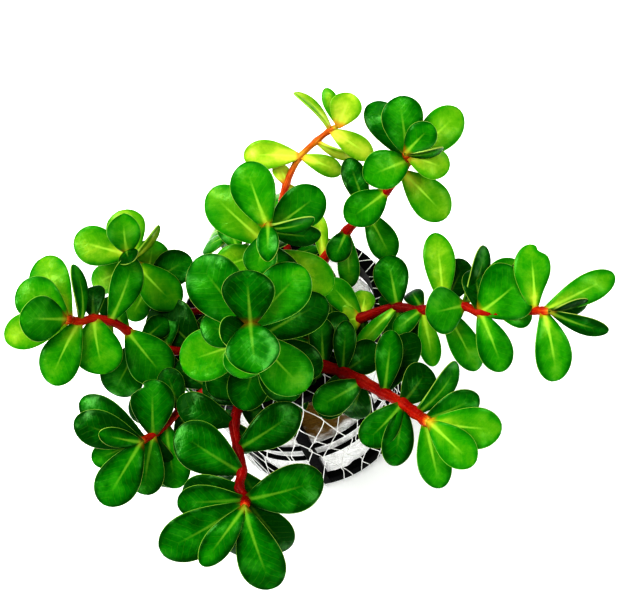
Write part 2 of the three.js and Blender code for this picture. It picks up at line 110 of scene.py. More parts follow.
SHOOTS: dict[str, ShootPlan] = {
    "back": ShootPlan((1, 8), 0.9, 0.72, Sap.ORANGE, (
        ((0, 18, 0), (165, -15, 10.3), (12, -30, 9.3)),
        ((2, 29, 2), (115, 0, 4.9, 4.4, 30, 0.97), (-60, -40, 8.2)),
        ((5.1, 34.9, 3), (178, 0, 12.6, 6.6, 0, 0.81), (-19, -10, 10, 4.6, 0, 0.69)),
        ((8.7, 38.2, 4), (-25, -8, 9.8, 3.6, 64, 0.92)),
        ((11.6, 40.3, 5), (134, 5, 11.4, 4, 52, 0.73), (-34, 5, 11, 5.3, 0, 0.83)),
        ((13.4, 41.1, 6), (110, 10, 8.5, 3.5, 0, 0.47), (69, 20, 7.4, 6.9, 0, 0.73)),
    )),
    "back_right": ShootPlan((6, 5), 1.1, 0.5, Sap.RED, (
        ((10.1, 12.2, 3), (94, 5, 10.4, 3.5, 0, 0.72), (-80, -5, 8.2, 4.4)),
        ((15.1, 18.2, 8), (-113, 10, 7.2, 5.5, 0, 0.2), (-88, -10, 12.5, 4.8, 0, 0.35)),
        ((19.1, 22.1, 11), (109, -5, 12.3, 5.4, 0, 0.1), (-61, -5, 11.7, 6.5, 0, 0.35)),
        ((22.9, 25.8, 14), (-140, 15, 10.5, 7.6, 0, 0.36)),
        ((26, 29.6, 17), (-45, 0, 13.2, 8.1, 0, 0.6)),
        ((27, 31.5, 20), (-155, 20, 10.3, 8.1, 0, 0.26), (41, 5, 14.4, 7.9, 0, 0.5),
         (123, -8, 14.6, 7, 0, 0.14)),
        ((26.5, 32.2, 22), (101, 5, 11.7, 8.4, 0, 0.18), (-22, 5, 8.8, 6.3, 0, 0.64)),
        ((26.1, 32.4, 24), (47, 30, 7.6, 5.9, 0, 0.3), (3, 10, 7.3, 3, 68, 0.04)),
    )),
    "crown": ShootPlan((-1, 3), 1.1, 0.45, Sap.RED, (
        ((-1, 8, 16), (165, -15, 10.3), (-5, -20, 10.3), (100, -60, 9.3, 6.6, 0, 0.1)),
        ((-1.4, 12.6, 26), (-30, 0, 14.8, 8.8, 0, 0.62), (-162, 5, 10.3, 7, 0, 0.55),
         (75, -62, 10.3, 7, 0, 0.2)),
        ((-1, 14, 31), (140, 0, 14.8, 8.6, 0, 0.5), (-60, -5, 10.3, 6.6, 0, 0.1),
         (130, -60, 9.7, 6.6, 0, 0.2)),
        ((-0.6, 15.6, 36), (36, 0, 12.8, 8.1, 0, 0.34), (-104, 20, 8.2, 6.2, 0, 0.4),
         (70, -58, 9.3, 6.2, 0, 0.25)),
        ((-0.4, 16.4, 39), (111, 5, 12.4, 8.1, 0, 0.36), (-12, 5, 9.7, 4.8, 35, 0.12)),
        ((-0.2, 16.6, 41), (3, 20, 8.7, 3.6, 55, 0.3), (-88, 38, 7.6, 4, 0, 0.22)),
    )),
    "front_crown": ShootPlan((-2, -3), 1.1, 0.2, Sap.DEEP, (
        ((-2, -6, 15), (-135, 10, 15, 9.5, 0, 0.04), (-88, 5, 16.1, 6.6, 0, 0.04),
         (-62, 0, 15.9, 6.6, 0, 0.02)),
        ((-2.6, -5, 22), (-60, 5, 13.4, 8.4, 0, 0.07), (-105, 5, 13.9, 8.4, 0, 0.05),
         (-27, 8, 13.4, 8.1, 0, 0.04), (100, -60, 9.3, 6.6, 0, 0.07)),
        ((-3, -4, 28), (31, 0, 15.5, 8.4, 0, 0.14), (-164, -5, 16.1, 10.1, 0, 0.38),
         (66, -58, 9.7, 6.6, 0, 0.12)),
        ((-3.2, -3, 33), (172, 0, 10.3, 7, 0, 0.14), (-50, -5, 14.4, 9.5, 0, 0.36),
         (125, -60, 9.3, 6.6, 0, 0.17)),
        ((-3.4, -1.6, 39), (130, 5, 15.9, 10.3, 0, 0.14), (-100, 0, 9.3, 7.7, 0, 0.22)),
        ((-3.3, -0.9, 43), (46, 5, 13.8, 9.2, 0, 0.24), (-150, 55, 8.2, 6.6, 0, 0.04)),
        ((-3, -0.7, 46), (92, 10, 9.3, 9.2, 0, 0.12), (-82, 35, 9.7, 9.2, 0, 0.08)),
    )),
    "inner": ShootPlan((3, -1), 1.0, 0.1, Sap.RED, (
        ((6, -7, 12), (-98, 25, 12.4, 7), (-45, 15, 11.3, 7)),
        ((7.6, -5, 12.6), (-62, 0, 11.3, 7), (30, -10, 9.3, 5.9)),
        ((8.4, -4.6, 14), (-157, 0, 5.5, 5.9, 0, 0.13), (120, -5, 6, 6.6, 0, 0.14)),
    )),
    "left": ShootPlan((-8, 1), 1.1, 0.4, Sap.RED, (
        ((-17, -8, 2), (-110, -15, 10.3, 6.8, 0, 0.1), (135, 0, 14.6, 11.2, 0, 0.02)),
        ((-24, -7.4, 4.5), (-84, -20, 10.3, 6.8, 0, 0.15), (95, -20, 9.3, 6.2, 0, 0.1)),
        ((-29, -5.6, 7), (-118, -8, 13.8, 9.7, 0, 0.28), (45, -30, 8.2, 5.5, 0, 0.1)),
        ((-31.6, -3.2, 9), (-50, 0, 13.2, 10.1, 0, 0.3), (126, -10, 9.3, 5.5)),
        ((-35, -1, 11), (66, 0, 14.4, 7, 25, 0.3), (-115, -25, 10.3)),
        ((-38, -0.4, 12), (-82, 5, 11.9, 10.3, 0, 0.34), (100, -30, 8.2, 5.5, 0, 0.05)),
        ((-40.5, -1, 14), (-118, 5, 14.4, 8.6, 0, 0.42), (91, 5, 11.9, 4.2, 58, 0.25)),
        ((-42, -0.6, 16), (-166, 5, 14, 7.5, 0, 0.55), (120, -8, 15, 8.8, 0, 0.52)),
        ((-42.2, -0.5, 17.4), (142, 8, 11.7, 9.2, 0, 0.36)),
        ((-42.6, -0.4, 18.6), (175, 55, 9.9, 9.2, 0, 0.28)),
    )),
    "back_left": ShootPlan((-6, 6), 0.9, 0.45, Sap.RED, (
        ((-15, 1, -4), (-110, -5, 10.3), (70, -20, 9.3)),
        ((-24.6, 1.6, -1), (-62, 5, 11.3, 9.9, 0, 0.02), (150, -20, 9.3)),
        ((-28.4, 6.8, 1), (34, 5, 11.1, 8.1, 0, 0.18), (-118, -5, 9.3, 5.9, 0, 0.4)),
        ((-28.8, 7.6, 1.6), (80, -6, 9.5, 8.1, 0, 0.42)),
        ((-31, 11.4, 3), (-47, 5, 13.2, 8.8, 0, 0.47), (-156, -20, 13.4, 6.6, 0, 0.45)),
        ((-31.6, 12.6, 4), (104, -5, 11.1, 8.8, 0, 0.56), (43, 5, 9.3, 4, 76, 0.8)),
        ((-31.8, 13.2, 6), (167, 5, 12.4, 8.6, 0, 0.5)),
        ((-31.8, 13.8, 8), (92, 38, 9.1, 7.3, 0, 0.36), (-60, 65, 6.2, 4.8, 0, 0.12)),
    )),
    "front_left": ShootPlan((-7, -5), 1.0, 0.3, Sap.RED, (
        ((-14, -15, 10), (150, -10, 9.3, 5.9, 0, 0.02), (-60, -10, 8.2, 5.5, 0, 0.02)),
        ((-20, -19.6, 12), (110, -5, 9.3, 5.9, 0, 0.02), (-75, -20, 9.3, 5.9, 0, 0.02)),
        ((-22.6, -22.4, 14), (-82, 5, 13.4, 7.7, 0, 0.18), (150, -20, 10.3, 6.2, 0, -0.06)),
        ((-25, -24.4, 15.5), (90, 5, 11.5, 9.2, 0, 0.07), (-100, 5, 12.4, 7.7, 0, 0.26),
         (-75, -10, 12.4, 6.6, 0, -0.02)),
        ((-26.6, -25, 17), (-158, 0, 11.8, 5.9, 0, 0.17), (147, 0, 15.5, 7, 0, 0.04)),
        ((-26.8, -25.2, 19), (-118, 10, 14.4, 8.8, 0, 0.14), (159, 12, 14, 7.7, 0, 0.07),
         (163, 40, 9.7, 4, 0, 0.24)),
    )),
    "front": ShootPlan((-3, -9), 1.2, 0.26, Sap.DEEP, (
        ((-7, -17.4, 17), (155, -15, 9.3, 5.9, 0, -0.12), (-40, -20, 9.3, 5.5, 0, -0.07)),
        ((-8, -21.4, 20), (161, 0, 12.4, 7, 0, -0.12), (-60, -25, 8.2, 5.5, 0, -0.02)),
        ((-7, -26, 23), (31, 5, 14.4, 8.1, 0, 0.08), (-130, -25, 10.3, 6.6, 0, -0.07)),
        ((-6, -30, 26), (149, 0, 15.2, 9.7, 0, 0.03), (-60, -25, 11.3, 7.3, 0, -0.02)),
        ((-6.4, -32.4, 28), (-170, -10, 11.8, 7.5, 0, -0.12)),
        ((-5, -34.3, 30), (14, 5, 15.2, 9.2, 0, 0.07), (-178, -5, 13.4, 6.6, 0, 0.03),
         (-50, -8, 13.4, 7.3, 0, -0.03)),
        ((-5, -34.8, 32), (-150, 5, 18.1, 9, 0, 0.11), (-100, -25, 13.4, 5.5, 0, -0.12)),
        ((-5, -35, 33.5), (-72, 0, 16.3, 8.6, 0, 0.11), (-129, 25, 12.8, 5.5, 0, 0.19)),
    )),
    "front_right": ShootPlan((5, -7), 1.4, 0.3, Sap.RED, (
        ((10, -10.2, 15), (94, 5, 10, 5.5, 0, 0.2), (-115, -15, 8.2, 6.6, 0, 0.05)),
        ((13.9, -11.3, 17), (88, 5, 10.6, 4.8, 0, 0.04), (32, -5, 9.2, 7, 0, 0),
         (-111, 0, 10.3, 6.6, 0, 0.03)),
        ((17.6, -12.9, 20), (-149, 5, 11, 6.8, 0, 0.13), (-106, -25, 9.6, 7, 0, 0)),
        ((21.8, -14.9, 23), (84, 0, 12.5, 5.5, 0, 0.15), (64, -12, 13.7, 6.6, 0, 0)),
        ((25.1, -16.6, 26), (48, -14, 9.2, 7.3, 0, 0), (-133, 5, 11, 6.9, 0, 0.18),
         (-97, 8, 12.2, 6.2, 0, 0.03)),
        ((27.3, -18.1, 28.5), (44, -5, 12.8, 5.1, 26, 0.24)),
        ((28.9, -19.2, 31), (-80, 0, 13.4, 6.4, 0, 0.42), (25, 12, 11, 5.9, 0, 0.15)),
        ((29.4, -19.3, 33), (-7, 5, 13.5, 7.8, 0, 0.5), (-42, 15, 11.2, 6.9, 0, 0.38)),
    )),
    "right": ShootPlan((9, -2), 1.1, 0.4, Sap.RED, (
        ((12.6, -2, 5), (100, -5, 9.3, 6.6, 0, 0.1), (-60, 5, 9.3, 6.6, 0, 0.05)),
        ((18, -0.4, 9), (132, 0, 10.9, 5.9, 0, 0.33), (76, -30, 7.2, 4.8, 0, 0.7),
         (-170, 8, 4.7, 6.6, 0, 0.62), (-75, -20, 9.3, 5.9, 0, 0.1)),
        ((25.5, 1.9, 12), (102, 0, 11.1, 7.5, 0, 0.3), (-134, 5, 12.6, 3.7, 20, 0.4),
         (144, -40, 5.4, 3.3, 0, 0.1), (-90, -12, 7.8, 5.9, 0, 0.2)),
        ((30.4, 1.3, 15), (-80, 0, 11.9, 4.6, 0, 0.42), (117, -50, 7.5, 4.4, 0, 0.12),
         (-141, 0, 7.4, 4.2, 20, 0.3), (-97, -16, 9.8, 6.6, 0, 0.03)),
        ((34.1, 2.4, 18), (93, 0, 14.8, 6.5, 0, 0.46), (-63, 0, 15.3, 6.2, 0, 0.4),
         (59, -10, 10.8, 6.4, 0, 0)),
        ((37.9, 2.3, 20), (-170, 30, 9.2, 9.5, 0, 0.2), (69, 0, 13, 5.1, 36, 0.22)),
        ((40.9, 1, 22), (-70, 5, 12.6, 6.9, 0, 0.3), (54, 0, 13, 8.5, 0, 0.36),
         (94, -15, 9.2, 5.9, 0, 0.08),
         (38, 14, 11.2, 12.1, 0, 0.34)),
        ((44.4, 0.9, 23), (-1, 4, 6.8, 5.7, 0, 0.3)),
        ((51.2, 1.4, 24), (97, 5, 13, 7.3, 0, 0.55), (109, -6, 10.3, 5.5, 0, 0)),
        ((52.4, 1.3, 26), (30, 5, 15.5, 5.8, 0, 0.4), (-76, 0, 14, 7.3, 0, 0.42)),
        ((53.6, 1.3, 27.2), (-22, 15, 11.3, 3.9, 28, 0.16), (13, 10, 7.3, 4.2, 44, 0)),
    )),
    "rear_left": ShootPlan((-3, 11), 1.0, 0.4, Sap.RED, (
        ((-7, 8, -9.4), (23, 0, 8, 5, -50), (-157, 0, 8, 5, 50)),
        ((-9.6, 15, -12.4), (113, -15, 9, 6), (110, -80, 9, 6)),
        ((-11.4, 18.8, -16.4), (23, -10, 10, 7, -55), (-157, -20, 9, 6.4, 55)),
        ((-13, 20.6, -20.6), (113, -30, 9, 7), (-70, -70, 10, 7)),
        ((-13.8, 21.4, -23.6), (-157, -50, 11, 7, 50), (50, -40, 10, 7.2, -40), (113, -60, 9, 6.4)),
    )),
    "rear_right": ShootPlan((6, 11), 1.0, 0.45, Sap.RED, (
        ((2.4, 12.4, -9.4), (23, 0, 8, 5, -50), (-157, 0, 8, 5, 50)),
        ((1.4, 19.8, -11.8), (113, -25, 9, 6), (110, -80, 9, 6)),
        ((1.4, 24.6, -15.8), (23, -15, 10, 7, -55), (-157, -15, 10, 7, 55)),
        ((1.8, 26.6, -20), (113, -60, 10, 7), (-70, -70, 10, 7)),
        ((2.2, 27.6, -23.4), (-157, -45, 11, 7, 50), (23, -45, 11, 7, -50), (113, -80, 9, 6.4)),
    )),
}


@dataclass(frozen=True)
class Nick:
    """A notch in a leaf's edge: the leaf's number in its shoot, its place, side, depth and reach.

    The place and the reach are shares of the leaf's length. The side is -1 for left, 1 for right.
    """

    leaf: int
    at: float
    side: float
    depth: float
    reach: float


NICKS: dict[str, tuple[Nick, ...]] = {
    "front_left": (Nick(6, 0.88, -1, 1.5, 0.05), Nick(6, 0.8, -1, 0.5, 0.04)),
    "right": (Nick(24, 0.9, 1, 1.0, 0.055), Nick(24, 0.3, 1, 0.6, 0.2)),
}


def eye_axes() -> Array:
    """The eye's right, up and toward-the-eye directions as the rows of a 3x3 array.

    The eye looks down by EYE_HEIGHT_DEG along +Y, and is turned about its own sight line.

    Returns:
        The three unit vectors in the world's axes.
    """
    high, lean = math.radians(EYE_HEIGHT_DEG), math.radians(EYE_LEAN_DEG)
    right = np.array((1.0, 0.0, 0.0))
    up = np.array((0.0, math.sin(high), math.cos(high)))
    toward = np.array((0.0, -math.cos(high), math.sin(high)))
    leant_right = math.cos(lean) * right - math.sin(lean) * up
    leant_up = math.sin(lean) * right + math.cos(lean) * up
    return np.stack((leant_right, leant_up, toward))


EYE = eye_axes()
POT_MOUTH = np.array((0.0, 0.0, POT_HEIGHT))


def spread(*parts: Array) -> Array:
    """Arrays brought to one shape and stacked along a new last axis."""
    return np.stack(np.broadcast_arrays(*parts), axis=-1)


def full_turn(count: int) -> Array:
    """Angles in radians, evenly spaced round a full turn."""
    return np.linspace(0, 2 * np.pi, count, endpoint=False)


def round_axis(radius: Array, angle: Array, height: Array) -> Array:
    """Points about Z: the radius times the angle's cosine and sine, then the height."""
    return spread(radius * np.cos(angle), radius * np.sin(angle), height)


def distances(knots: Array) -> Array:
    """How far each knot is along the straight lines that join the knots."""
    return np.concatenate(([0.0], np.cumsum(np.linalg.norm(np.diff(knots, axis=0), axis=1))))


def walked(knots: Array, count: int) -> tuple[Array, Array, Array]:
    """Evenly spaced points on the straight lines that join knots.

    Args:
        knots: (n, 2) radii and heights.
        count: How many points to give back.

    Returns:
        Distances along the way, and the radius and height at each.
    """
    at = distances(knots)
    s = np.linspace(0, at[-1], count)
    return s, np.interp(s, at, knots[:, 0]), np.interp(s, at, knots[:, 1])


def capped(rings: Array, first: Array, last: Array) -> Array:
    """Rings with one repeated point before them and one after."""
    shape = (1, *rings.shape[1:])
    return np.concatenate((np.broadcast_to(first, shape), rings, np.broadcast_to(last, shape)))


def merged_ends(grid: Array) -> Array:
    """A capped grid as a list of points, with the first ring and the last as one point each."""
    return np.concatenate((grid[0, :1], grid[1:-1].reshape(-1, 3), grid[-1, :1]))


@dataclass
class Surface:
    """A piece of mesh as whole arrays: points, faces of three or four corners, and point values."""

    points: Array
    quads: Array
    tris: Array
    values: Grids
    material: int = 0

    def flipped(self) -> "Surface":
        """The same surface with every face turned round."""
        quads, tris = self.quads[:, ::-1], self.tris[:, ::-1]
        return Surface(self.points, quads, tris, self.values, self.material)

    def volume(self) -> float:
        """Signed volume: a sixth of the sum of each triangle's triple product.

        Returns:
            The volume, negative if the faces point inwards.
        """
        parts = [self.tris, self.quads[:, [0, 1, 2]], self.quads[:, [0, 2, 3]]]
        corners = self.points[np.concatenate(parts)]
        cross = np.cross(corners[:, 0], corners[:, 1])
        return float(np.einsum("ij,ij->", cross, corners[:, 2])) / 6

    def outward(self) -> "Surface":
        """The surface with its faces pointing out, told by the sign of its volume."""
        return self if self.volume() > 0 else self.flipped()


def closed_grid(points: Array, values: Grids, material: int = 0) -> Surface:
    """A tube of rings closed by a point at each end, its faces outward.

    Args:
        points: (rings, around, 3) array, whose first and last rings are each one repeated point.
        values: Point values as (rings, around, 3) arrays.
        material: Which of the piece's materials it wears.

    Returns:
        The surface, with quads between rings and triangles at the two ends.
    """
    rings, around, _ = points.shape
    number = 1 + np.arange((rings - 2) * around).reshape(-1, around)
    ahead = np.roll(number, -1, axis=1)
    quads = np.stack((number[:-1], ahead[:-1], ahead[1:], number[1:]), axis=-1).reshape(-1, 4)
    last = np.full(around, number[-1, -1] + 1)
    first_cap = np.stack((np.zeros_like(last), ahead[0], number[0]), axis=-1)
    last_cap = np.stack((last, number[-1], ahead[-1]), axis=-1)
    tris = np.concatenate((first_cap, last_cap))
    flat = {name: merged_ends(value) for name, value in values.items()}
    return Surface(merged_ends(points), quads, tris, flat, material).outward()


def ring_grid(points: Array) -> Surface:
    """A surface closed both ways, such as a hoop, its faces outward.

    Args:
        points: (around one way, around the other, 3) array.

    Returns:
        The surface, all quads.
    """
    number = np.arange(points.shape[0] * points.shape[1]).reshape(points.shape[:2])
    ahead, above = np.roll(number, -1, axis=1), np.roll(number, -1, axis=0)
    quads = np.stack((number, ahead, np.roll(ahead, -1, axis=0), above), axis=-1).reshape(-1, 4)
    return Surface(points.reshape(-1, 3), quads, np.empty((0, 3), int), {}).outward()


def build_object(name: str, surfaces: Sequence[Surface], materials: Sequence[Material]) -> Object:
    """Puts surfaces into one smooth-shaded mesh object at the origin.

    Args:
        name: The object's name.
        surfaces: Surfaces in millimetres.
        materials: The materials that the surfaces number.

    Returns:
        The new object, linked to the scene.
    """
    starts = np.cumsum([0] + [len(s.points) for s in surfaces])
    points = np.concatenate([s.points for s in surfaces]) * MM
    quads = np.concatenate([s.quads + start for s, start in zip(surfaces, starts)])
    tris = np.concatenate([s.tris + start for s, start in zip(surfaces, starts)])
    corners = np.concatenate((quads.ravel(), tris.ravel()))
    begins = np.concatenate((np.arange(len(quads)) * 4, quads.size + np.arange(len(tris)) * 3))
    counts = [len(s.quads) for s in surfaces] + [len(s.tris) for s in surfaces]
    wear = np.repeat([s.material for s in surfaces] * 2, counts)
    mesh = bpy.data.meshes.new(name)
    mesh.vertices.add(len(points))
    mesh.vertices.foreach_set("co", points.astype(np.float32).ravel())
    mesh.loops.add(len(corners))
    mesh.loops.foreach_set("vertex_index", corners.astype(np.int32))
    mesh.polygons.add(len(begins))
    mesh.polygons.foreach_set("loop_start", begins.astype(np.int32))
    mesh.polygons.foreach_set("material_index", wear.astype(np.int32))
    mesh.polygons.foreach_set("use_smooth", np.ones(len(begins), bool))
    for value in surfaces[0].values:
        layer = mesh.attributes.new(value, "FLOAT_VECTOR", "POINT")
        data = np.concatenate([s.values[value] for s in surfaces])
        layer.data.foreach_set("vector", data.astype(np.float32).ravel())
    for material in materials:
        mesh.materials.append(material)
    mesh.update(calc_edges=True)
    mesh.validate()
    made = bpy.data.objects.new(name, mesh)
    bpy.context.scene.collection.objects.link(made)
    return made


def turn(axis: str, degrees: Array) -> Array:
    """Rotation matrices about one axis.

    Args:
        axis: "x", "y" or "z".
        degrees: Angles, one for each matrix.

    Returns:
        (n, 3, 3) array.
    """
    angle = np.radians(degrees)
    cos, sin, one, zero = np.cos(angle), np.sin(angle), np.ones_like(angle), np.zeros_like(angle)
    rows = {
        "x": ((one, zero, zero), (zero, cos, -sin), (zero, sin, cos)),
        "y": ((cos, zero, sin), (zero, one, zero), (-sin, zero, cos)),
        "z": ((cos, -sin, zero), (sin, cos, zero), (zero, zero, one)),
    }[axis]
    return np.stack([np.stack(row, axis=-1) for row in rows], axis=-2)


def smooth_path(knots: Array, count: int) -> tuple[Array, Array]:
    """A smooth curve through knots: cubic pieces whose slopes come from the neighbouring knots.

    Args:
        knots: (n, 3) places, spaced by their chord lengths.
        count: How many points to give back.

    Returns:
        The points, evenly spaced by chord length, and the distance of each along the curve.
    """
    at = distances(knots)
    slope = np.gradient(knots, at, axis=0)
    s = np.linspace(0, at[-1], count)
    i = np.clip(np.searchsorted(at, s, side="right") - 1, 0, len(at) - 2)
    span = (at[i + 1] - at[i])[:, None]
    u = (s[:, None] - at[i][:, None]) / span
    h00, h10 = 2 * u**3 - 3 * u**2 + 1, u**3 - 2 * u**2 + u
    h01, h11 = -2 * u**3 + 3 * u**2, u**3 - u**2
    near = h00 * knots[i] + h10 * span * slope[i]
    return near + h01 * knots[i + 1] + h11 * span * slope[i + 1], s


def tube(points: Array, radii: Array, around: int) -> Array:
    """Rings of a round bar along a path, shrunk to a point at both ends.

    Each ring lies in two directions square to the path, which are found by crossing the path with
    the world axis that it follows least.

    Args:
        points: (n, 3) path.
        radii: (n,) radii.
        around: Points in a ring.

    Returns:
        (n + 2, around, 3) array of ring points.
    """
    along = np.gradient(points, axis=0)
    along /= np.linalg.norm(along, axis=1, keepdims=True)
    side = np.cross(along, np.eye(3)[np.argmin(np.abs(along).max(axis=0))])
    side /= np.linalg.norm(side, axis=1, keepdims=True)
    rise = np.cross(side, along)
    angle = full_turn(around)[None, :, None]
    ring = np.cos(angle) * side[:, None, :] + np.sin(angle) * rise[:, None, :]
    return capped(points[:, None, :] + radii[:, None, None] * ring, points[0], points[-1])


def rounded_outline(corners: Array, rounding: float, steps: int = 4) -> Array:
    """A closed outline with each corner replaced by a short curve.

    Each curve is a quadratic one: it leaves one side at the rounding distance from the corner,
    bends toward the corner and joins the next side at the same distance.

    Args:
        corners: (n, 2) corners.
        rounding: Distance from a corner to where its curve starts, at most 0.45 of a side.
        steps: Pieces in each curve.

    Returns:
        (n * (steps + 1), 2) outline points.
    """
    ends = []
    for neighbour in (np.roll(corners, 1, axis=0), np.roll(corners, -1, axis=0)):
        away = neighbour - corners
        length = np.linalg.norm(away, axis=1, keepdims=True)
        ends.append(corners + away / length * np.minimum(rounding, length * 0.45))
    u = np.linspace(0, 1, steps + 1)[None, :, None]
    start, middle, end = ends[0][:, None], corners[:, None], ends[1][:, None]
    return ((1 - u) ** 2 * start + 2 * u * (1 - u) * middle + u**2 * end).reshape(-1, 2)


@dataclass(frozen=True)
class LeafShape:
    """The form that all the leaves share, as shares of a leaf's own length or width.

    The spans are the ranges that each leaf's own differences are drawn from.
    """

    stations: int = 22
    around: int = 18
    widest_power: float = 1.6
    fullness: float = 0.5
    petiole: float = 0.55
    petiole_power: float = 9
    deepest_nick: float = 0.6
    thick: float = 0.95
    thick_foot: float = 1.1
    thinning: float = 0.45
    tip_power: float = 18
    edge_round: float = 0.5
    rib_half_width: float = 0.55
    rib_thinning: float = 0.7
    groove: float = 0.16
    keel: float = 0.3
    foot: float = 0.6
    cup_gain: float = 1.4
    back_power: float = 2.6
    wave_pace: float = 7
    cup: Span = (-0.05, 0.16)
    arch: Span = (0.02, 0.1)
    back: Span = (0.03, 0.13)
    sway: Span = (-0.05, 0.05)
    wave: Span = (0.0, 0.028)
    phase: Span = (0, 6.28)

    def half_share(self, t: Array) -> Array:
        """Half width at t along the leaf: a sine of a power of t, raised to the fullness."""
        return np.sin(np.pi * t**self.widest_power).clip(0) ** self.fullness

    def half_width(self, width: Array, t: Array, across: Array, nicks: Sequence[Nick]) -> Array:
        """Half width of each leaf at each point of each ring.

        The blade's outline and a petiole that fades by a power of the distance to the tip are
        added as squares. A nick takes a bell curve of the distance along from its own side.

        Args:
            width: (leaves, 1, 1) widths.
            t: (1, rings, 1) shares of the length.
            across: (1, 1, around) shares of the half width, negative on the left.
            nicks: Notches in the leaves' edges.

        Returns:
            (leaves, rings, around) array, zero at both ends.
        """
        petiole = self.petiole * (1 - t) ** self.petiole_power
        half = np.sqrt((width / 2 * self.half_share(t)) ** 2 + petiole**2) + 0 * across
        for nick in nicks:
            bell = np.exp(-(((t[0] - nick.at) / nick.reach) ** 2))
            notch = nick.depth * bell * (across[0] * nick.side > 0)
            half[nick.leaf] -= np.minimum(notch, half[nick.leaf] * self.deepest_nick)
        return half * ((t > 0) & (t < 1))

    def build(self, rows: Array, nicks: Sequence[Nick], mood: Random) -> tuple[Array, Array, Array]:
        """All of a shoot's leaves at once, each lying along +Y with its upper face to +Z.

        A section is a flattened ellipse. Its middle line arches along the leaf and bends back at
        the tip, its edges lift or droop with the square of the distance from the midrib, and the
        midrib is a groove above and a keel below. Rings crowd toward the tip by a sine.

        Args:
            rows: (leaves, 2) lengths and widths.
            nicks: Notches in the leaves' edges.
            mood: Source of each leaf's own small differences.

        Returns:
            Ring points (leaves, rings, around, 3); then values of the same shape: distance from
            the midrib, distance in from the margin and distance along; and the share of the length,
            the share of the half width and the upper side's mask.
        """
        length, width = rows[:, 0, None, None], rows[:, 1, None, None]
        even = (np.arange(self.stations) + 0.5) / self.stations
        crowded = 0.5 * even + 0.5 * np.sin(even * np.pi / 2)
        t = np.concatenate(([0.0], crowded, [1.0]))[None, :, None]
        angle = full_turn(self.around)[None, None, :]
        across, face = np.cos(angle), np.sin(angle)
        half = self.half_width(width, t, across, nicks)
        tip = np.sqrt((1 - t**self.tip_power).clip(0)) * ((t > 0) & (t < 1))
        body = self.thick / 2 * (self.thick_foot - self.thinning * t) * tip
        x = half * across
        z = body * np.sign(face) * np.abs(face) ** self.edge_round
        rib = np.exp(-((x / self.rib_half_width) ** 2)) * np.sin(np.pi * t).clip(0) ** 0.5
        rib = rib * (1 - self.rib_thinning * t)
        z = z - rib * np.where(face > 0, self.groove, self.keel * (1 - t))
        spans = (self.cup, self.arch, self.back, self.sway, self.wave, self.phase)
        cup, arch, back, sway, wave, phase = (
            mood.uniform(low, high, (len(rows), 1, 1)) for low, high in spans
        )
        z = z + cup * half * across**2 * self.cup_gain
        z = z + arch * length * 4 * t * (1 - t) - back * length * t**self.back_power
        ripple = np.sin(phase + self.wave_pace * t)
        z = z + wave * width * ripple * across * np.abs(across) * t
        x = x + sway * length * t**2
        y = t * (length + self.foot) - self.foot
        blade = spread(half * across, half * (1 - np.abs(across)), y)
        share = spread(t + 0 * x, np.abs(across), face > 0)
        return spread(x, y, z), blade, share


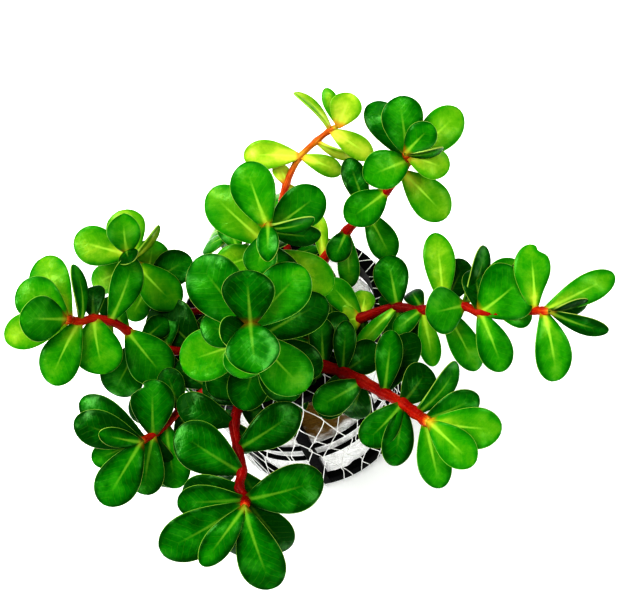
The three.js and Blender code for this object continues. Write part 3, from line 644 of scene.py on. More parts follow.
@dataclass
class Shoot:
    """A stem with its leaves, as one piece in the world's axes."""

    name: str
    plan: ShootPlan
    leaf: LeafShape = LeafShape()
    stem_sides: int = 14
    points_per_mm: float = 1.6
    thick_foot: float = 1.12
    taper: float = 0.45
    swell: float = 0.2
    swell_reach: float = 0.9
    tip_reach: float = 1.1
    tip_share: float = 0.4
    tip_power: float = 0.7
    tone_rise: float = 0.3
    tip_tone: float = 0.55
    streak_waves: float = 6
    plain_width: float = 0.62
    low_youth_and_shade: float = 0.6

    def knots(self) -> Array:
        """The places that the stem passes through, from its root's end to its tip.

        Returns:
            (n, 3) array in the world's axes.
        """
        foot = (*self.plan.root, PLUG_TOP - ROOT_DEPTH)
        out = (*self.plan.root, PLUG_TOP + 1)
        places = [POT_MOUTH + np.array(node[0], float) @ EYE for node in self.plan.nodes]
        return np.array([foot, out, *places])

    def stem(self) -> Surface:
        """The stem: a tapering round bar that swells a little at each node.

        The radius falls in a straight line from root to tip, and each node adds a bell curve. Over
        the last tip_reach it narrows to less than half, and its colour turns toward yellow.

        Returns:
            The stem's surface, in the stem's material. Its values are the place round it and
            along it, then the colour's tone.
        """
        knots = self.knots()
        at = distances(knots)
        points, s = smooth_path(knots, int(at[-1] * self.points_per_mm))
        bells = np.exp(-(((s[:, None] - at[None, 2:]) / self.swell_reach) ** 2)).sum(axis=1)
        end = np.clip((s[-1] - s) / self.tip_reach, 0, 1)
        narrow = self.tip_share + (1 - self.tip_share) * end**self.tip_power
        radii = self.thick_foot - self.taper * s / s[-1] + self.swell * bells
        rings = tube(points, self.plan.radius * radii * narrow, self.stem_sides)
        s, end = np.pad(s, 1, mode="edge")[:, None], np.pad(end, 1, mode="edge")[:, None]
        tone = self.plan.sap.value + self.tone_rise * (s / s[-1] - 0.5) + self.tip_tone * (1 - end)
        sides = np.linspace(0, 1, self.stem_sides, endpoint=False) * self.streak_waves
        blade = spread(sides, s, s / s[-1])
        leaf = spread(np.clip(tone, 0, 1) + 0 * sides, 0.0, 0.0)
        return closed_grid(rings, {"blade": blade, "leaf": leaf, "share": 0 * leaf}, 1)

    def leaf_rows(self) -> tuple[Array, Array]:
        """The plan's leaves as arrays.

        Returns:
            Places (n, 3) in the eye's axes, and clock, lean, length, width, roll and youth (n, 6);
            the youth also paints shade.
        """
        places, rows = [], []
        last = len(self.plan.nodes) - 1
        for k, (at, *leaves) in enumerate(self.plan.nodes):
            # Leaves on lower nodes get less youth: older, and darker by painted shade.
            youth_and_shade = self.plan.youth_and_shade * (self.low_youth_and_shade + (1 - self.low_youth_and_shade) * k / last)
            for clock, lean, length, *rest in leaves:
                plain = (length * self.plain_width, 0, youth_and_shade)
                places.append(at)
                rows.append((clock, lean, length, *rest, *plain[len(rest):]))
        return np.array(places, float), np.array(rows, float)

    def leaves(self, mood: Random) -> list[Surface]:
        """The shoot's leaves, each a closed surface in the leaf's material.

        Args:
            mood: Source of each leaf's own small differences.

        Returns:
            One surface for each leaf. Its values are the leaf shape's own, its youth, which also
            paints shade, and its luck.
        """
        places, rows = self.leaf_rows()
        points, blade, share = self.leaf.build(rows[:, 2:4], NICKS.get(self.name, ()), mood)
        turns = turn("z", rows[:, 0] - 90) @ turn("x", rows[:, 1]) @ turn("y", rows[:, 4])
        points = np.einsum("nij,nrcj->nrci", turns, points) + places[:, None, None, :]
        points = POT_MOUTH + points @ EYE
        luck = mood.uniform(0, 1, len(rows))
        made = []
        for i, youth_and_shade in enumerate(rows[:, 5]):
            tone = np.broadcast_to((youth_and_shade, luck[i], 0.0), blade[i].shape)
            values = {"blade": blade[i], "leaf": tone, "share": share[i]}
            made.append(closed_grid(points[i], values))
        return made

    def build(self, mood: Random, finishes: Sequence[Material]) -> Object:
        """The whole shoot as one object that stands for its CAD node.

        Args:
            mood: Source of small differences.
            finishes: The leaf's and the stem's materials.

        Returns:
            The object.
        """
        piece = build_object("plant_" + self.name, [*self.leaves(mood), self.stem()], finishes)
        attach(piece, "root")
        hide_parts("shoot_" + self.name)
        return piece


@dataclass(frozen=True)
class Basket:
    """The black lattice pot: a foot with a floor, ribs, hoops, and a collar with its flange."""

    height: float = POT_HEIGHT
    flange_radius: float = 25.0
    flange_thick: float = 2.0
    wall_top: float = 23.2
    wall_foot: float = 20.8
    wall_thick: float = 1.2
    collar: float = 5.0
    collar_rounding: float = 0.35
    foot_band: float = 2.6
    foot_band_thick: float = 1.8
    foot_rounding: float = 0.4
    ribs: int = 8
    rib_width: float = 2.6
    rib_proud: float = 0.15
    rib_rounding: float = 0.35
    rib_span: Span = (0.6, POT_HEIGHT - 1.0)
    rib_stations: int = 12
    rib_turn_deg: float = -14.0
    hoops: tuple[float, ...] = (12.0, 16.2)
    hoop_tall: float = 0.8
    hoop_thick_share: float = 0.8
    hoop_rounding: float = 0.3
    floor_thick: float = 1.2
    floor_lift: float = 0.02
    floor_inset: float = 0.8
    floor_holes: int = 4
    floor_hole_radius: float = 3.4
    floor_hole_ring: float = 12.5
    floor_hole_sides: int = 32
    facets: int = 128

    def wall(self, z: Union[float, Array]) -> Union[float, Array]:
        """The outside of the wall at a height: a straight taper."""
        return self.wall_foot + (self.wall_top - self.wall_foot) * z / self.height

    def turned(self, corners: Sequence[Span], rounding: float) -> Surface:
        """A ring of revolution about Z, its corners rounded.

        Args:
            corners: [radius, height] corners of the section, closed.
            rounding: How far from each corner its rounding starts.

        Returns:
            The closed ring.
        """
        section = rounded_outline(np.array(corners, float), rounding)
        return ring_grid(round_axis(section[:, 0], full_turn(self.facets)[:, None], section[:, 1]))

    def rib(self, angle: float) -> Surface:
        """One upright rib: a rounded bar that leans with the wall.

        Args:
            angle: Where it stands round the pot, in radians.

        Returns:
            The bar, closed at both ends.
        """
        half_w, half_t = self.rib_width / 2, (self.wall_thick + self.rib_proud) / 2
        corners = ((-half_t, -half_w), (half_t, -half_w), (half_t, half_w), (-half_t, half_w))
        section = rounded_outline(np.array(corners), self.rib_rounding)
        z = np.linspace(*self.rib_span, self.rib_stations)
        centre = self.wall(z) - half_t + self.rib_proud
        out = np.array((math.cos(angle), math.sin(angle), 0.0))
        side = np.array((-math.sin(angle), math.cos(angle), 0.0))
        path = centre[:, None] * out + z[:, None] * np.array((0.0, 0.0, 1.0))
        rings = path[:, None, :] + section[:, :1] * out + section[:, 1:] * side
        return closed_grid(capped(rings, rings[0].mean(axis=0), rings[-1].mean(axis=0)), {})

    def floor_plate(self, finish: Material) -> Object:
        """The floor, with its round drain holes cut through it.

        Args:
            finish: The black plastic.

        Returns:
            A helper object whose mesh is the cut floor.
        """
        radius = self.wall(0) - self.floor_inset
        low, high = self.floor_lift, self.floor_thick
        profile = np.array(((0, low), (radius, low), (radius, high), (0, high)))
        rings = round_axis(profile[:, :1], full_turn(self.facets), profile[:, 1:])
        plate = build_object("floor_plate", [closed_grid(rings, {})], ())
        for place in full_turn(self.floor_holes):
            centre = np.array((math.cos(place), math.sin(place), 0.0)) * self.floor_hole_ring
            path = centre + np.array(((0, 0, -1.0), (0, 0, 3.0)))
            bar = tube(path, np.full(2, self.floor_hole_radius), self.floor_hole_sides)
            drill = build_object("drill", [closed_grid(bar, {})], ())
            cut = plate.modifiers.new("hole", "BOOLEAN")
            cut.operation, cut.solver, cut.object = "DIFFERENCE", "EXACT", drill
            bpy.context.view_layer.update()
            done = plate.evaluated_get(bpy.context.evaluated_depsgraph_get())
            mesh = bpy.data.meshes.new_from_object(done)
            plate.modifiers.clear()
            plate.data = mesh
            bpy.data.objects.remove(drill)
        plate.data.materials.clear()
        plate.data.materials.append(finish)
        return plate

    def build(self, finish: Material) -> Object:
        """The whole pot as one object that stands for its CAD node.

        Args:
            finish: The black plastic.

        Returns:
            The object.
        """
        top, under, low = self.height, self.height - self.flange_thick, self.height - self.collar
        collar = (
            (self.wall(low) - self.wall_thick, low),
            (self.wall(low), low),
            (self.wall(under), under),
            (self.flange_radius, under),
            (self.flange_radius, top),
            (self.wall(top) - self.wall_thick, top),
        )
        band = self.foot_band
        foot = (
            (self.wall(0) - self.foot_band_thick, 0),
            (self.wall(0), 0),
            (self.wall(band), band),
            (self.wall(band) - self.foot_band_thick, band),
        )
        surfaces = [
            self.turned(collar, self.collar_rounding),
            self.turned(foot, self.foot_rounding),
        ]
        for z in self.hoops:
            outside, high = self.wall(z), z + self.hoop_tall
            inside = outside - self.wall_thick * self.hoop_thick_share
            section = ((inside, z), (outside, z), (outside, high), (inside, high))
            surfaces.append(self.turned(section, self.hoop_rounding))
        first = math.radians(self.rib_turn_deg)
        surfaces += [self.rib(first + 2 * math.pi * i / self.ribs) for i in range(self.ribs)]
        body = build_object("lattice_pot", surfaces, (finish,))
        parts = [body, self.floor_plate(finish)]
        with bpy.context.temp_override(active_object=body, selected_editable_objects=parts):
            bpy.ops.object.join()
        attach(body, "root")
        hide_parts("net_pot")
        return body


@dataclass(frozen=True)
class WoolPlug:
    """The damp mineral wool that fills the pot, lumpy where it swells between the ribs."""

    top: float = PLUG_TOP
    floor: float = 1.6
    inset: float = 1.5
    crown: float = 1.5
    lump: float = 0.189
    waves: int = 60
    round_waves: tuple[int, int] = (2, 46)
    up_wave_spread: float = 0.75
    push_limits: Span = (-1.0, 0.75)
    fade_radius: float = 6
    top_share: float = 0.8
    around: int = 220
    up: int = 90

    def outline(self, basket: Basket) -> tuple[Array, Array, Array]:
        """The way from the middle of the underside, up the wall and over the crown.

        Args:
            basket: The pot that it fills.

        Returns:
            Distances along the way, and the radius and height at each.
        """
        foot, mouth = basket.wall(self.floor) - self.inset, basket.wall(self.top) - self.inset
        knots = (
            (0, self.floor),
            (foot * 0.9, self.floor),
            (foot, self.floor + 1.4),
            (mouth, self.top - self.crown),
            (mouth * 0.93, self.top - 0.4),
            (mouth * 0.7, self.top),
            (0, self.top),
        )
        return walked(np.array(knots), self.up)

    def build(self, basket: Basket, mood: Random, finish: Material) -> Object:
        """The plug as one object that stands for its CAD node.

        Sines of whole waves round the plug, each with its own height waves and weaker the finer
        it is, push the wall in and out and the top up and down. The push fades toward the middle.

        Args:
            basket: The pot that it fills.
            mood: Source of the lumps.
            finish: The wool.

        Returns:
            The object.
        """
        s, radius, z = self.outline(basket)
        angle = full_turn(self.around)
        round_waves = mood.integers(*self.round_waves, self.waves)[:, None, None]
        up_waves = mood.normal(0, self.up_wave_spread, self.waves)[:, None, None]
        phase = mood.uniform(0, 2 * np.pi, self.waves)[:, None, None]
        sines = np.sin(round_waves * angle + up_waves * s[:, None] + phase)
        push = self.lump * (sines / (2 + round_waves) ** 0.5).sum(axis=0)
        fade = np.clip(radius / self.fade_radius, 0, 1)[:, None]
        push = np.clip(push, *self.push_limits) * fade
        on_top = (z > self.top - 1.0)[:, None]
        height = z[:, None] + push * on_top * self.top_share
        height = np.where(z[:, None] <= self.floor + 0.01, self.floor, height)
        points = round_axis(radius[:, None] + push * ~on_top, angle, height)
        points[0], points[-1] = points[0, :1], points[-1, :1]
        piece = build_object("wool_plug", [closed_grid(points, {})], (finish,))
        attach(piece, "root")
        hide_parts("rockwool_plug")
        return piece


@dataclass(frozen=True)
class Netting:
    """The thin white netting drawn over the pot, from its foot to just inside its flange."""

    strands: int = 54
    sides: int = 6
    thick: float = 0.25
    gap: float = 0.3
    foot: float = 0.5
    cell: float = 13.0
    reach: float = 0.49
    straightness: float = 0.97
    shift: float = 0.8
    slack: float = 0.5
    lift: float = 0.3
    over_under: float = 0.06
    waves: int = 6
    round_waves: tuple[int, int] = (1, 9)
    up_wave_spread: float = 0.16
    wave_weight: Span = (0.2, 0.5)
    held_end: Span = (8, 4)
    points: int = 110

    def outline(self, basket: Basket) -> tuple[Array, Array, Array]:
        """The way of a strand in [radius, height]: up a cone, round the flange's edge and inwards.

        Args:
            basket: The pot that it covers.

        Returns:
            Distances along the way, and the radius and height at each.
        """
        edge, top = basket.flange_radius + self.gap, basket.height + self.gap
        knots = (
            (basket.wall(0) + self.gap, self.foot),
            (basket.wall(14) + 0.6, 14.0),
            (basket.wall(28) + 1.0, 28.0),
            (edge - 0.15, basket.height - basket.flange_thick - 0.4),
            (edge, top - 0.7),
            (edge - 0.3, top - 0.1),
            (edge - 1.0, top),
            (basket.wall_top - basket.wall_thick, top + 0.1),
        )
        return walked(np.array(knots), self.points)

    def paths(self, basket: Basket, mood: Random) -> Array:
        """All the strands' paths.

        Neighbouring strands swing to and fro in opposite ways, by a nearly straight zigzag of the
        distance along (the arcsine of a sine), and so meet in turn with the strand on either side.
        Slow waves round the pot move the meeting places and lift them off the pot.

        Args:
            basket: The pot that they cover.
            mood: Source of the slow waves.

        Returns:
            (strands, points, 3) array.
        """
        s, radius, z = self.outline(basket)
        step = 2 * math.pi / self.strands
        number = np.arange(self.strands)[:, None]
        start, hand = number * step, np.where(number % 2, -1.0, 1.0)
        shape = (2, self.waves, 1, 1)
        around = mood.integers(*self.round_waves, shape)
        along = mood.normal(0, self.up_wave_spread, shape)
        phase, weight = mood.uniform(0, 6.28, shape), mood.uniform(*self.wave_weight, shape)
        sway, lift = (weight * np.sin(around * start + along * s + phase)).sum(axis=1)
        sine = np.sin(2 * math.pi * s / self.cell + self.shift * lift)
        swing = np.arcsin(self.straightness * sine) / math.asin(self.straightness)
        angle = start + step * (self.reach * hand * swing + self.slack * sway)
        held = 1 - np.clip((s - s[-1] + self.held_end[0]) / self.held_end[1], 0, 1)
        radius = radius + self.lift * held * (1 + lift).clip(0) + self.over_under * hand
        return round_axis(radius, angle, z)

    def build(self, basket: Basket, mood: Random, finish: Material) -> Object:
        """The netting as one object that stands for its CAD node.

        Args:
            basket: The pot that it covers.
            mood: Source of its slackness.
            finish: The white plastic.

        Returns:
            The object.
        """
        radii = np.full(self.points, self.thick / 2)
        paths = self.paths(basket, mood)
        surfaces = [closed_grid(tube(path, radii, self.sides), {}) for path in paths]
        piece = build_object("white_netting", surfaces, (finish,))
        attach(piece, "root")
        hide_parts("net_sleeve")
        return piece


class Wires:
    """A material's or a group's nodes, with short ways to add and join them."""

    def __init__(self, tree: bpy.types.NodeTree) -> None:
        """Keeps the tree that the nodes go into."""
        self.tree = tree

    def add(self, kind: str, **settings: object) -> bpy.types.Node:
        """A new node with some of its settings.

        Args:
            kind: The node's class name.
            settings: Its properties and their values.

        Returns:
            The node.
        """
        node = self.tree.nodes.new(kind)
        for name, value in settings.items():
            setattr(node, name, value)
        return node

    def join(self, output: Socket, target: Socket) -> None:
        """Joins an output to an input."""
        self.tree.links.new(output, target)

    def set(self, target: Socket, value: object) -> None:
        """Joins an input to a socket, or gives it a plain value.

        Args:
            target: The input.
            value: A socket, a number or a colour.
        """
        if isinstance(value, Socket):
            self.join(value, target)
        else:
            target.default_value = value

    def math(self, operation: str, *values: Value) -> Socket:
        """A Math node.

        Args:
            operation: What it does.
            values: Its inputs, numbers or sockets.

        Returns:
            Its output.
        """
        node = self.add("ShaderNodeMath", operation=operation)
        for socket, value in zip(node.inputs, values):
            self.set(socket, value)
        return node.outputs[0]

    def times(self, a: Value, b: Value) -> Socket:
        """One value times another."""
        return self.math("MULTIPLY", a, b)

    def plus(self, a: Value, b: Value) -> Socket:
        """One value plus another."""
        return self.math("ADD", a, b)

    def line(self, value: Value, slope: float, offset: Value) -> Socket:
        """A value times its slope, plus an offset."""
        return self.math("MULTIPLY_ADD", value, slope, offset)

    def blend(self, share: Value, first: object, second: Colour) -> Socket:
        """A colour Mix node.

        Args:
            share: How much of the second colour, a number or a socket.
            first: First colour or socket.
            second: Second colour.

        Returns:
            Its colour output.
        """
        node = self.add("ShaderNodeMix", data_type="RGBA")
        self.set(node.inputs[0], share)
        self.set(node.inputs[6], first if isinstance(first, Socket) else (*first, 1.0))
        self.set(node.inputs[7], (*second, 1.0))
        return node.outputs[2]

    def ease(self, value: Socket, fade: Fade) -> Socket:
        """A smooth step.

        Args:
            value: What is read.
            fade: Where the step begins and ends, then the results before and after it.

        Returns:
            The step's output.
        """
        node = self.add("ShaderNodeMapRange", interpolation_type="SMOOTHSTEP")
        self.join(value, node.inputs["Value"])
        for name, number in zip(("From Min", "From Max", "To Min", "To Max"), fade):
            node.inputs[name].default_value = number
        return node.outputs[0]

    def noise(self, where: Socket, scale: Value, detail: float) -> Socket:
        """A noise texture.

        Args:
            where: The place that it is read at.
            scale: Its waves to the unit.
            detail: How many finer layers it has.

        Returns:
            Its value.
        """
        node = self.add("ShaderNodeTexNoise")
        for name, value in (("Vector", where), ("Scale", scale), ("Detail", detail)):
            self.set(node.inputs[name], value)
        return node.outputs[0]

    def mapped(self, where: Socket, scale: Row, rotation: Row = (0, 0, 0)) -> Socket:
        """A place, turned and stretched.

        Args:
            where: The place.
            scale: Stretch along each axis.
            rotation: Turn about each axis, in radians.

        Returns:
            The new place.
        """
        node = self.add("ShaderNodeMapping")
        node.inputs["Rotation"].default_value = rotation
        node.inputs["Scale"].default_value = scale
        self.join(where, node.inputs["Vector"])
        return node.outputs[0]

    def ramp(self, value: Socket, stops: Stops) -> Socket:
        """A colour ramp.

        Args:
            value: What is read.
            stops: Places and colours.

        Returns:
            The ramp's colour.
        """
        node = self.add("ShaderNodeValToRGB")
        marks = node.color_ramp.elements
        while len(marks) < len(stops):
            marks.new(0.5)
        for mark, (place, colour) in zip(marks, stops):
            mark.position, mark.color = place, (*colour, 1.0)
        self.join(value, node.inputs[0])
        return node.outputs[0]

    def object_place(self) -> Socket:
        """The place on the object, in metres."""
        return self.add("ShaderNodeTexCoord").outputs["Object"]

    def point_value(self, name: str) -> Socket:
        """A point value that the mesh carries, as one vector."""
        return self.add("ShaderNodeAttribute", attribute_name=name).outputs["Vector"]

    def parts(self, vector: Socket) -> tuple[Socket, ...]:
        """The three numbers of a vector.

        Args:
            vector: The vector.

        Returns:
            Its x, y and z.
        """
        node = self.add("ShaderNodeSeparateXYZ")
        self.join(vector, node.inputs[0])
        return tuple(node.outputs)


def mottle_group() -> bpy.types.NodeTree:
    """Soft blotches with a finer grain over them, from two sizes of noise on the object.

    Returns:
        A group with inputs Patch and Grain, in waves to the metre, and outputs Blotch and Speck.
    """
    group = bpy.data.node_groups.new("mottle", "ShaderNodeTree")
    pairs = (("Patch", "Blotch"), ("Grain", "Speck"))
    for size, result in pairs:
        group.interface.new_socket(size, in_out="INPUT", socket_type="NodeSocketFloat")
        group.interface.new_socket(result, in_out="OUTPUT", socket_type="NodeSocketFloat")
    wires = Wires(group)
    entry, leave = wires.add("NodeGroupInput"), wires.add("NodeGroupOutput")
    place = wires.object_place()
    for size, result in pairs:
        wires.join(wires.noise(place, entry.outputs[size], 4.0), leave.inputs[result])
    return group


class Finish:
    """A material under construction: its shader and its wires."""

    def __init__(self, name: str, **sockets: object) -> None:
        """Makes the material and sets the shader's own sockets.

        Args:
            name: The material's name.
            sockets: The shader's inputs, with underscores for blanks, and their plain values.
        """
        self.material = bpy.data.materials.new(name)
        self.material.use_nodes = True
        self.wires = Wires(self.material.node_tree)
        self.shader = self.material.node_tree.nodes["Principled BSDF"]
        for label, value in sockets.items():
            self.shader.inputs[label.replace("_", " ")].default_value = value

    def mottle(self, group: bpy.types.NodeTree, sizes: Span) -> tuple[Socket, Socket]:
        """The shared blotches at this material's own sizes.

        Args:
            group: The shared blotches.
            sizes: Waves to the metre of the patches and of the grain.

        Returns:
            The blotches and the specks.
        """
        node = self.wires.add("ShaderNodeGroup", node_tree=group)
        node.inputs["Patch"].default_value, node.inputs["Grain"].default_value = sizes
        return node.outputs["Blotch"], node.outputs["Speck"]

    def feed(self, label: str, source: Socket) -> None:
        """Joins a result to one of the shader's inputs."""
        self.wires.join(source, self.shader.inputs[label])

    def bump(self, height: Socket, distance_mm: float) -> None:
        """Raises the surface by a height pattern.

        Args:
            height: The pattern.
            distance_mm: How high a value of one stands.
        """
        node = self.wires.add("ShaderNodeBump")
        node.inputs["Distance"].default_value = distance_mm * MM
        self.wires.join(height, node.inputs["Height"])
        self.feed("Normal", node.outputs[0])


@dataclass(frozen=True)
class LeafFinish:
    """Glossy thick leaf: green by age and by painted light and shade, with a yellow foot, pale
    midrib and thin pale margin.

    The leaf's millimetres are read from its point values, so every fade across it follows it.
    """

    # Low ages give near-black greens: painted shade for leaves deep among the others.
    stops: Stops = (
        (0.0, (0.0006, 0.04, 0.0004)),
        (0.2, (0.0025, 0.11, 0.0006)),
        (0.4, (0.02, 0.205, 0.0012)),
        (0.6, (0.09, 0.28, 0.005)),
        (0.8, (0.24, 0.4, 0.016)),
        (1.0, (0.46, 0.54, 0.05)),
    )
    rib: Colour = (0.5, 0.78, 0.08)
    margin: Colour = (0.5, 0.62, 0.12)
    foot: Colour = (0.62, 0.16, 0.01)
    under: Colour = (0.12, 0.42, 0.03)
    sheen: Row = (0.4, 1.0, 0.3, 1.0)
    sizes: Span = (260.0, 1500.0)
    # How the age that picks the green changes over the leaf: painted light raises it in the
    # middle and painted shade lowers it just inside the margin.
    middle_fade: Fade = (0.0, 0.9, 1.0, 0.0)
    middle_painted_light: float = 0.1
    glow_power: float = 1.5
    glow_gain: float = 1.3
    glow_fade: Fade = (0.05, 0.5, 1.0, 0.0)
    glow_across: Line = (0.75, 0.25)
    rim_painted_shade: Fade = (0.1, 1.5, -0.13, 0.0)
    blotch_age: Line = (0.6, -0.3)
    speck_age: Line = (0.16, -0.08)
    luck_age: Line = (0.2, -0.1)
    # The side veins slant forward from the midrib and wander with the blotches.
    vein_every: float = 1.5
    vein_slant: float = -0.9
    vein_wander: float = 2.0
    vein_fade: Fade = (0.0, 0.16, 1.0, 0.0)
    vein_end: Fade = (0.3, 1.6, 0.0, 1.0)
    vein_strength: float = 0.025
    # The midrib narrows along the leaf and is paler on young leaves.
    rib_width: Fade = (0.0, 0.6, 1.5, 0.5)
    rib_wander: float = 1.2
    rib_fade: Fade = (0.03, 0.3, 1.0, 0.0)
    rib_end: Fade = (0.4, 0.85, 1.0, 0.0)
    rib_strength: Line = (0.7, 0.09)
    margin_fade: Fade = (0.02, 0.12, 0.5, 0.0)
    margin_start: Fade = (0.1, 0.3, 0.0, 1.0)
    under_strength: float = 0.3
    foot_fade: Fade = (0.2, 1.6, 1.0, 0.0)
    foot_strength: Line = (1.0, 0.04)
    # Wet patches shine, mostly on the upper side.
    wet_fade: Fade = (0.48, 0.66, 0.06, 0.6)
    wet_upper: Line = (0.8, 0.2)
    rough: Line = (0.2, 0.12)
    rough_under: float = 0.14
    bump: float = 0.1
    bump_vein: float = -0.12
    bump_speck: float = 0.4
    bump_blotch: float = 2.2

    def green(self, w: Wires, blotch: Socket, speck: Socket) -> Socket:
        """The leaf's green by its age and its painted light and shade at each point.

        Age is the leaf's own youth, which also paints shade on leaves deep in the clump. It is
        raised toward the foot, raised toward the middle as painted light and lowered just inside
        the margin as painted shade, with soft blotches. The rise at the foot grows with a power of
        the youth, so that old leaves hardly yellow there.

        Args:
            w: The material's wires.
            blotch: The shared blotches.
            speck: The shared grain.

        Returns:
            The colour.
        """
        in_from_margin = w.parts(w.point_value("blade"))[1]
        youth_and_shade, luck, _ = w.parts(w.point_value("leaf"))
        t, side, _ = w.parts(w.point_value("share"))
        middle = w.ease(side, self.middle_fade)
        glow = w.math("POWER", w.math("MAXIMUM", youth_and_shade, 0.0), self.glow_power)
        foot = w.times(w.ease(t, self.glow_fade), w.line(middle, *self.glow_across))
        age = w.line(w.times(foot, glow), self.glow_gain, youth_and_shade)
        # Painted light lifts the middle; painted shade darkens just inside the margin.
        age = w.line(middle, self.middle_painted_light, age)
        age = w.plus(age, w.ease(in_from_margin, self.rim_painted_shade))
        lines = ((blotch, self.blotch_age), (speck, self.speck_age), (luck, self.luck_age))
        for value, line in lines:
            age = w.plus(age, w.line(value, *line))
        return w.ramp(age, self.stops)

    def build(self, mottle: bpy.types.NodeTree) -> Material:
        """The leaf's material.

        Over the green lie the side veins, the midrib, the margin, the paler underside and the warm
        foot, each by its own share.

        Args:
            mottle: The shared blotches.

        Returns:
            The material.
        """
        finish = Finish(
            "leaf", IOR=1.42, Specular_Tint=self.sheen, Subsurface_Weight=0.08,
            Subsurface_Scale=0.001, Subsurface_Radius=(0.6, 1.0, 0.1),
        )
        w = finish.wires
        off_rib, in_from_margin, along = w.parts(w.point_value("blade"))
        youth_and_shade = w.parts(w.point_value("leaf"))[0]
        t, _, upper = w.parts(w.point_value("share"))
        underside = w.math("SUBTRACT", 1.0, upper)
        blotch, speck = finish.mottle(mottle, self.sizes)
        distance = w.math("ABSOLUTE", off_rib)
        slant = w.line(blotch, self.vein_wander, w.line(distance, self.vein_slant, along))
        vein = w.ease(w.math("PINGPONG", slant, self.vein_every / 2), self.vein_fade)
        vein = w.times(vein, w.ease(in_from_margin, self.vein_end))
        width = w.line(blotch, self.rib_wander, w.ease(t, self.rib_width))
        rib = w.ease(w.math("DIVIDE", distance, width), self.rib_fade)
        rib = w.times(rib, w.ease(t, self.rib_end))
        rib = w.times(rib, w.line(youth_and_shade, *self.rib_strength))
        margin = w.times(
            w.ease(in_from_margin, self.margin_fade), w.ease(t, self.margin_start)
        )
        warm = w.times(w.ease(along, self.foot_fade), w.line(youth_and_shade, *self.foot_strength))
        colour = self.green(w, blotch, speck)
        for share, over in (
            (w.times(vein, self.vein_strength), self.rib),
            (rib, self.rib),
            (margin, self.margin),
            (w.times(underside, self.under_strength), self.under),
            (warm, self.foot),
        ):
            colour = w.blend(share, colour, over)
        finish.feed("Base Color", colour)
        wet = w.times(w.ease(blotch, self.wet_fade), w.line(upper, *self.wet_upper))
        finish.feed("Specular IOR Level", wet)
        rough = w.line(blotch, *self.rough)
        finish.feed("Roughness", w.line(underside, self.rough_under, rough))
        height = w.line(vein, self.bump_vein, w.times(speck, self.bump_speck))
        finish.bump(w.line(blotch, self.bump_blotch, height), self.bump)
        return finish.material


@dataclass(frozen=True)
class StemFinish:
    """Fleshy stem: deep red to orange, streaked along its length."""

    stops: Stops = (
        (0.0, (0.12, 0.001, 0.001)),
        (0.25, (0.22, 0.0015, 0.001)),
        (0.5, (0.35, 0.02, 0.003)),
        (0.75, (0.46, 0.11, 0.009)),
        (1.0, (0.5, 0.38, 0.03)),
    )
    sheen: Row = (1.0, 0.4, 0.3, 1.0)
    sizes: Span = (180.0, 1800.0)
    stretch: Row = (2.0, 0.12, 0.0)
    streaks: float = 2.0
    blotch_age: Line = (1.0, -0.5)
    streak_age: Line = (0.5, -0.25)
    rough: Line = (0.3, 0.1)
    bump: float = 0.14
    bump_speck: float = 0.9

    def build(self, mottle: bpy.types.NodeTree) -> Material:
        """The stem's material.

        Args:
            mottle: The shared blotches.

        Returns:
            The material.
        """
        finish = Finish(
            "stem", IOR=1.42, Specular_IOR_Level=0.3, Specular_Tint=self.sheen,
            Subsurface_Weight=0.08, Subsurface_Scale=0.001,
        )
        w = finish.wires
        tone = w.parts(w.point_value("leaf"))[0]
        blotch, speck = finish.mottle(mottle, self.sizes)
        streak = w.noise(w.mapped(w.point_value("blade"), self.stretch), self.streaks, 2.0)
        age = w.plus(tone, w.line(blotch, *self.blotch_age))
        age = w.plus(age, w.line(streak, *self.streak_age))
        finish.feed("Base Color", w.ramp(age, self.stops))
        finish.feed("Roughness", w.line(speck, *self.rough))
        finish.bump(w.line(speck, self.bump_speck, streak), self.bump)
        return finish.material


@dataclass(frozen=True)
class PotFinish:
    """Black moulded plastic with faint scuffs."""

    black: Colour = (0.002, 0.002, 0.0025)
    scuff: Colour = (0.006, 0.006, 0.0065)
    scuff_fade: Fade = (0.5, 0.75, 0.0, 0.5)
    sizes: Span = (160.0, 1400.0)
    rough: Line = (0.2, 0.26)
    bump: float = 0.04

    def build(self, mottle: bpy.types.NodeTree) -> Material:
        """The pot's material.

        Args:
            mottle: The shared blotches.

        Returns:
            The material.
        """
        finish = Finish("black_plastic", Specular_IOR_Level=0.04)
        w = finish.wires
        blotch, speck = finish.mottle(mottle, self.sizes)
        scuffed = w.ease(blotch, self.scuff_fade)
        finish.feed("Base Color", w.blend(scuffed, self.black, self.scuff))
        finish.feed("Roughness", w.line(blotch, *self.rough))
        finish.bump(speck, self.bump)
        return finish.material


@dataclass(frozen=True)
class NetFinish:
    """Thin white plastic thread, greyer in patches."""

    white: Colour = (0.82, 0.82, 0.8)
    grey: Colour = (0.6, 0.6, 0.57)
    grey_fade: Fade = (0.45, 0.7, 0.0, 1.0)
    sizes: Span = (220.0, 1500.0)

    def build(self, mottle: bpy.types.NodeTree) -> Material:
        """The netting's material.

        Args:
            mottle: The shared blotches.

        Returns:
            The material.
        """
        finish = Finish("white_thread", Roughness=0.45)
        blotch, _ = finish.mottle(mottle, self.sizes)
        greyed = finish.wires.ease(blotch, self.grey_fade)
        finish.feed("Base Color", finish.wires.blend(greyed, self.white, self.grey))
        return finish.material


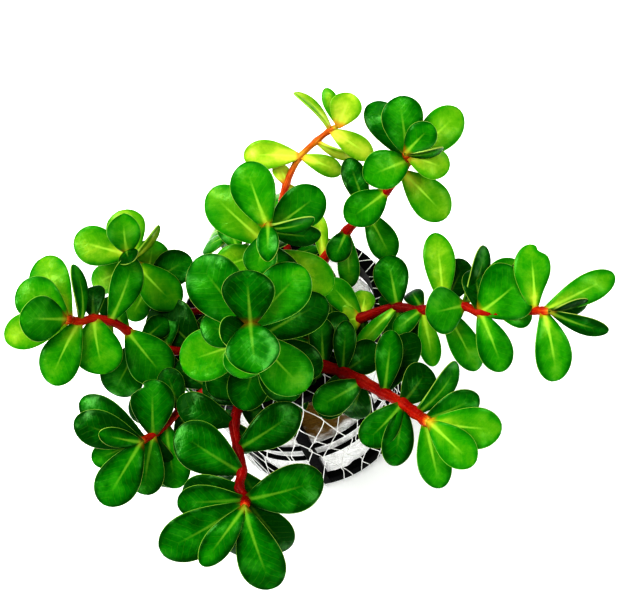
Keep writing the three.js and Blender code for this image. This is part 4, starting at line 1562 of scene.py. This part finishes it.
@dataclass(frozen=True)
class WoolFinish:
    """Damp mineral wool: white fibres, with a brown stain low in front of the roots, and a faint
    painted glow in its own colour that lights it up.
    """

    pale: Colour = (0.98, 0.98, 0.97)
    shade: Colour = (0.84, 0.83, 0.8)
    stain: Colour = (0.11, 0.06, 0.01)
    stain_at: Place = (0.0, -21.0, 26.0)
    stain_inside: float = -3.0
    stain_outside: float = 5.0
    stain_wander: float = -16.0
    # Painted light: the wool glows faintly in its own colour.
    glow: float = 0.14
    sizes: Span = (260.0, 3200.0)
    fibre_tilts: Row = (0.2, 1.1, 2.3)
    fibre_scale: Row = (260.0, 2600.0, 2600.0)
    fibre_fade: Fade = (0.42, 0.66, 0.0, 1.0)
    fibre_tone: float = 0.4
    blotch_tone: float = 0.9
    tone_fade: Fade = (0.2, 0.7, 0.0, 1.0)
    bump: float = 0.35
    bump_blotch: float = 1.5

    def fibres(self, w: Wires, place: Socket) -> Socket:
        """Fibres that lie in several directions: the highest of long noises, each turned its way.

        Args:
            w: The material's wires.
            place: The place on the object.

        Returns:
            The fibres' mask.
        """
        fibres = None
        for tilt in self.fibre_tilts:
            lay = w.mapped(place, self.fibre_scale, (tilt, tilt * 0.7, tilt * 1.9))
            strand = w.ease(w.noise(lay, 1.0, 2.0), self.fibre_fade)
            fibres = strand if fibres is None else w.math("MAXIMUM", fibres, strand)
        return fibres

    def build(self, mottle: bpy.types.NodeTree) -> Material:
        """The wool's material.

        The stain fades with the distance from its middle, moved in and out by the blotches.

        Args:
            mottle: The shared blotches.

        Returns:
            The material.
        """
        finish = Finish("wool", Roughness=0.95, Specular_IOR_Level=0.1, Emission_Strength=self.glow)
        w = finish.wires
        blotch, speck = finish.mottle(mottle, self.sizes)
        place = w.object_place()
        fibres = self.fibres(w, place)
        tone = w.line(blotch, self.blotch_tone, w.times(fibres, self.fibre_tone))
        colour = w.blend(w.ease(tone, self.tone_fade), self.shade, self.pale)
        away = w.add("ShaderNodeVectorMath", operation="DISTANCE")
        w.join(place, away.inputs[0])
        away.inputs[1].default_value = tuple(v * MM for v in self.stain_at)
        reach = w.line(blotch, self.stain_wander * MM, away.outputs["Value"])
        fade = (self.stain_inside * MM, self.stain_outside * MM, 1.0, 0.0)
        colour = w.blend(w.ease(reach, fade), colour, self.stain)
        finish.feed("Base Color", colour)
        # The wool's colour also glows: painted light that brightens it.
        finish.feed("Emission Color", colour)
        height = w.line(blotch, self.bump_blotch, w.plus(fibres, speck))
        finish.bump(height, self.bump)
        return finish.material


def placed(x: Array, y: Array, z: Array, spot: Array) -> Matrix:
    """A matrix with the given axes and the given place as its columns."""
    return Matrix((*np.stack((x, y, z, spot), axis=1).tolist(), (0, 0, 0, 1)))


@dataclass(frozen=True)
class Studio:
    """A pale floor, soft lights and the camera at the photograph's place.

    Each light has a name, a place in metres, a side in metres and a power in watts.
    """

    floor_size: float = 3.0
    floor_white: float = 0.9
    floor_glow: float = 0.2
    horizon_fade: Fade = (0.1, 0.45, 1.0, 0.22)
    lights: tuple[tuple[str, Place, float, float], ...] = (
        ("overhead", (-0.2, 0.15, 1.4), 1.0, 21.0),
        ("window", (-0.8, -0.3, 1.1), 0.5, 9.0),
        ("fill", (0.7, -0.9, 0.9), 0.6, 5.0),
    )
    light_colour: Colour = (1.0, 0.99, 1.0)
    aim_height: float = 0.04
    view: str = "Standard"
    look: str = "High Contrast"

    def floor(self) -> Object:
        """The plain pale floor, set down just under the pot.

        Returns:
            The object.
        """
        square = np.array(((-1, -1, 0), (1, -1, 0), (1, 1, 0), (-1, 1, 0)))
        corners = square * self.floor_size / 2 / MM
        finish = Finish(
            "floor", Roughness=0.8, Base_Color=(*(self.floor_white,) * 3, 1.0),
            Emission_Color=(1.0, 1.0, 1.0, 1.0), Emission_Strength=self.floor_glow,
        )
        sheet = Surface(corners, np.array(((0, 1, 2, 3),)), np.empty((0, 3), int), {})
        piece = build_object("studio_floor", [sheet], (finish.material,))
        return piece

    def light(self, name: str, place: Place, size: float, power: float) -> None:
        """A square soft light aimed at the plant.

        Args:
            name: Its name.
            place: Where it hangs, in metres.
            size: Its side, in metres.
            power: Its power in watts.
        """
        data = bpy.data.lights.new(name, "AREA")
        data.shape, data.size, data.energy = "SQUARE", size, power
        data.color = self.light_colour
        lamp = bpy.data.objects.new(name, data)
        bpy.context.scene.collection.objects.link(lamp)
        spot = np.array(place)
        back = spot - np.array((0.0, 0.0, self.aim_height))
        back /= np.linalg.norm(back)
        side = np.cross((0.0, 1.0, 0.01), back)
        side /= np.linalg.norm(side)
        lamp.matrix_world = placed(side, np.cross(back, side), back, spot)

    def camera(self) -> None:
        """The camera: EYE_DISTANCE from its target along the eye's sight line."""
        data = bpy.data.cameras.new("eye")
        data.sensor_fit, data.sensor_width = "AUTO", SENSOR_MM
        data.lens = FOCAL_PX / IMAGE_WIDTH_PX * SENSOR_MM
        data.clip_start, data.clip_end = 0.005, 20.0
        eye = bpy.data.objects.new("eye", data)
        bpy.context.scene.collection.objects.link(eye)
        spot = (np.array(EYE_TARGET) + EYE[2] * EYE_DISTANCE) * MM
        eye.matrix_world = placed(*EYE, spot)
        bpy.context.scene.camera = eye

    def sky_light(self) -> None:
        """Light from all round: white near the horizon, dimmer overhead, by the ray's height."""
        world = bpy.data.worlds.new("studio")
        world.use_nodes = True
        wires = Wires(world.node_tree)
        ray = wires.parts(wires.add("ShaderNodeTexCoord").outputs["Generated"])
        sky = world.node_tree.nodes["Background"]
        sky.inputs["Color"].default_value = (1.0, 1.0, 1.0, 1.0)
        wires.join(wires.ease(ray[2], self.horizon_fade), sky.inputs["Strength"])
        bpy.context.scene.world = world

    def build(self) -> None:
        """Sets up the floor, the lights, the camera and the plain picture tones."""
        self.floor()
        self.sky_light()
        for light in self.lights:
            self.light(*light)
        self.camera()
        bpy.context.scene.view_settings.view_transform = self.view
        bpy.context.scene.view_settings.look = self.look


def main() -> None:
    """Builds the plant, its pot and the studio, in order."""
    logging.basicConfig(level=logging.INFO, format="%(message)s")
    mottle = mottle_group()
    leaf_and_stem = (LeafFinish().build(mottle), StemFinish().build(mottle))
    basket = Basket()
    pieces = [
        basket.build(PotFinish().build(mottle)),
        WoolPlug().build(basket, np.random.default_rng(5), WoolFinish().build(mottle)),
        Netting().build(basket, np.random.default_rng(8), NetFinish().build(mottle)),
    ]
    for number, (name, plan) in enumerate(SHOOTS.items()):
        mood = np.random.default_rng(100 + number)
        pieces.append(Shoot(name, plan).build(mood, leaf_and_stem))
    Studio().build()
    for piece in pieces:
        log.info("%s: %d faces", piece.name, len(piece.data.polygons))


if __name__ == "__main__":
    main()
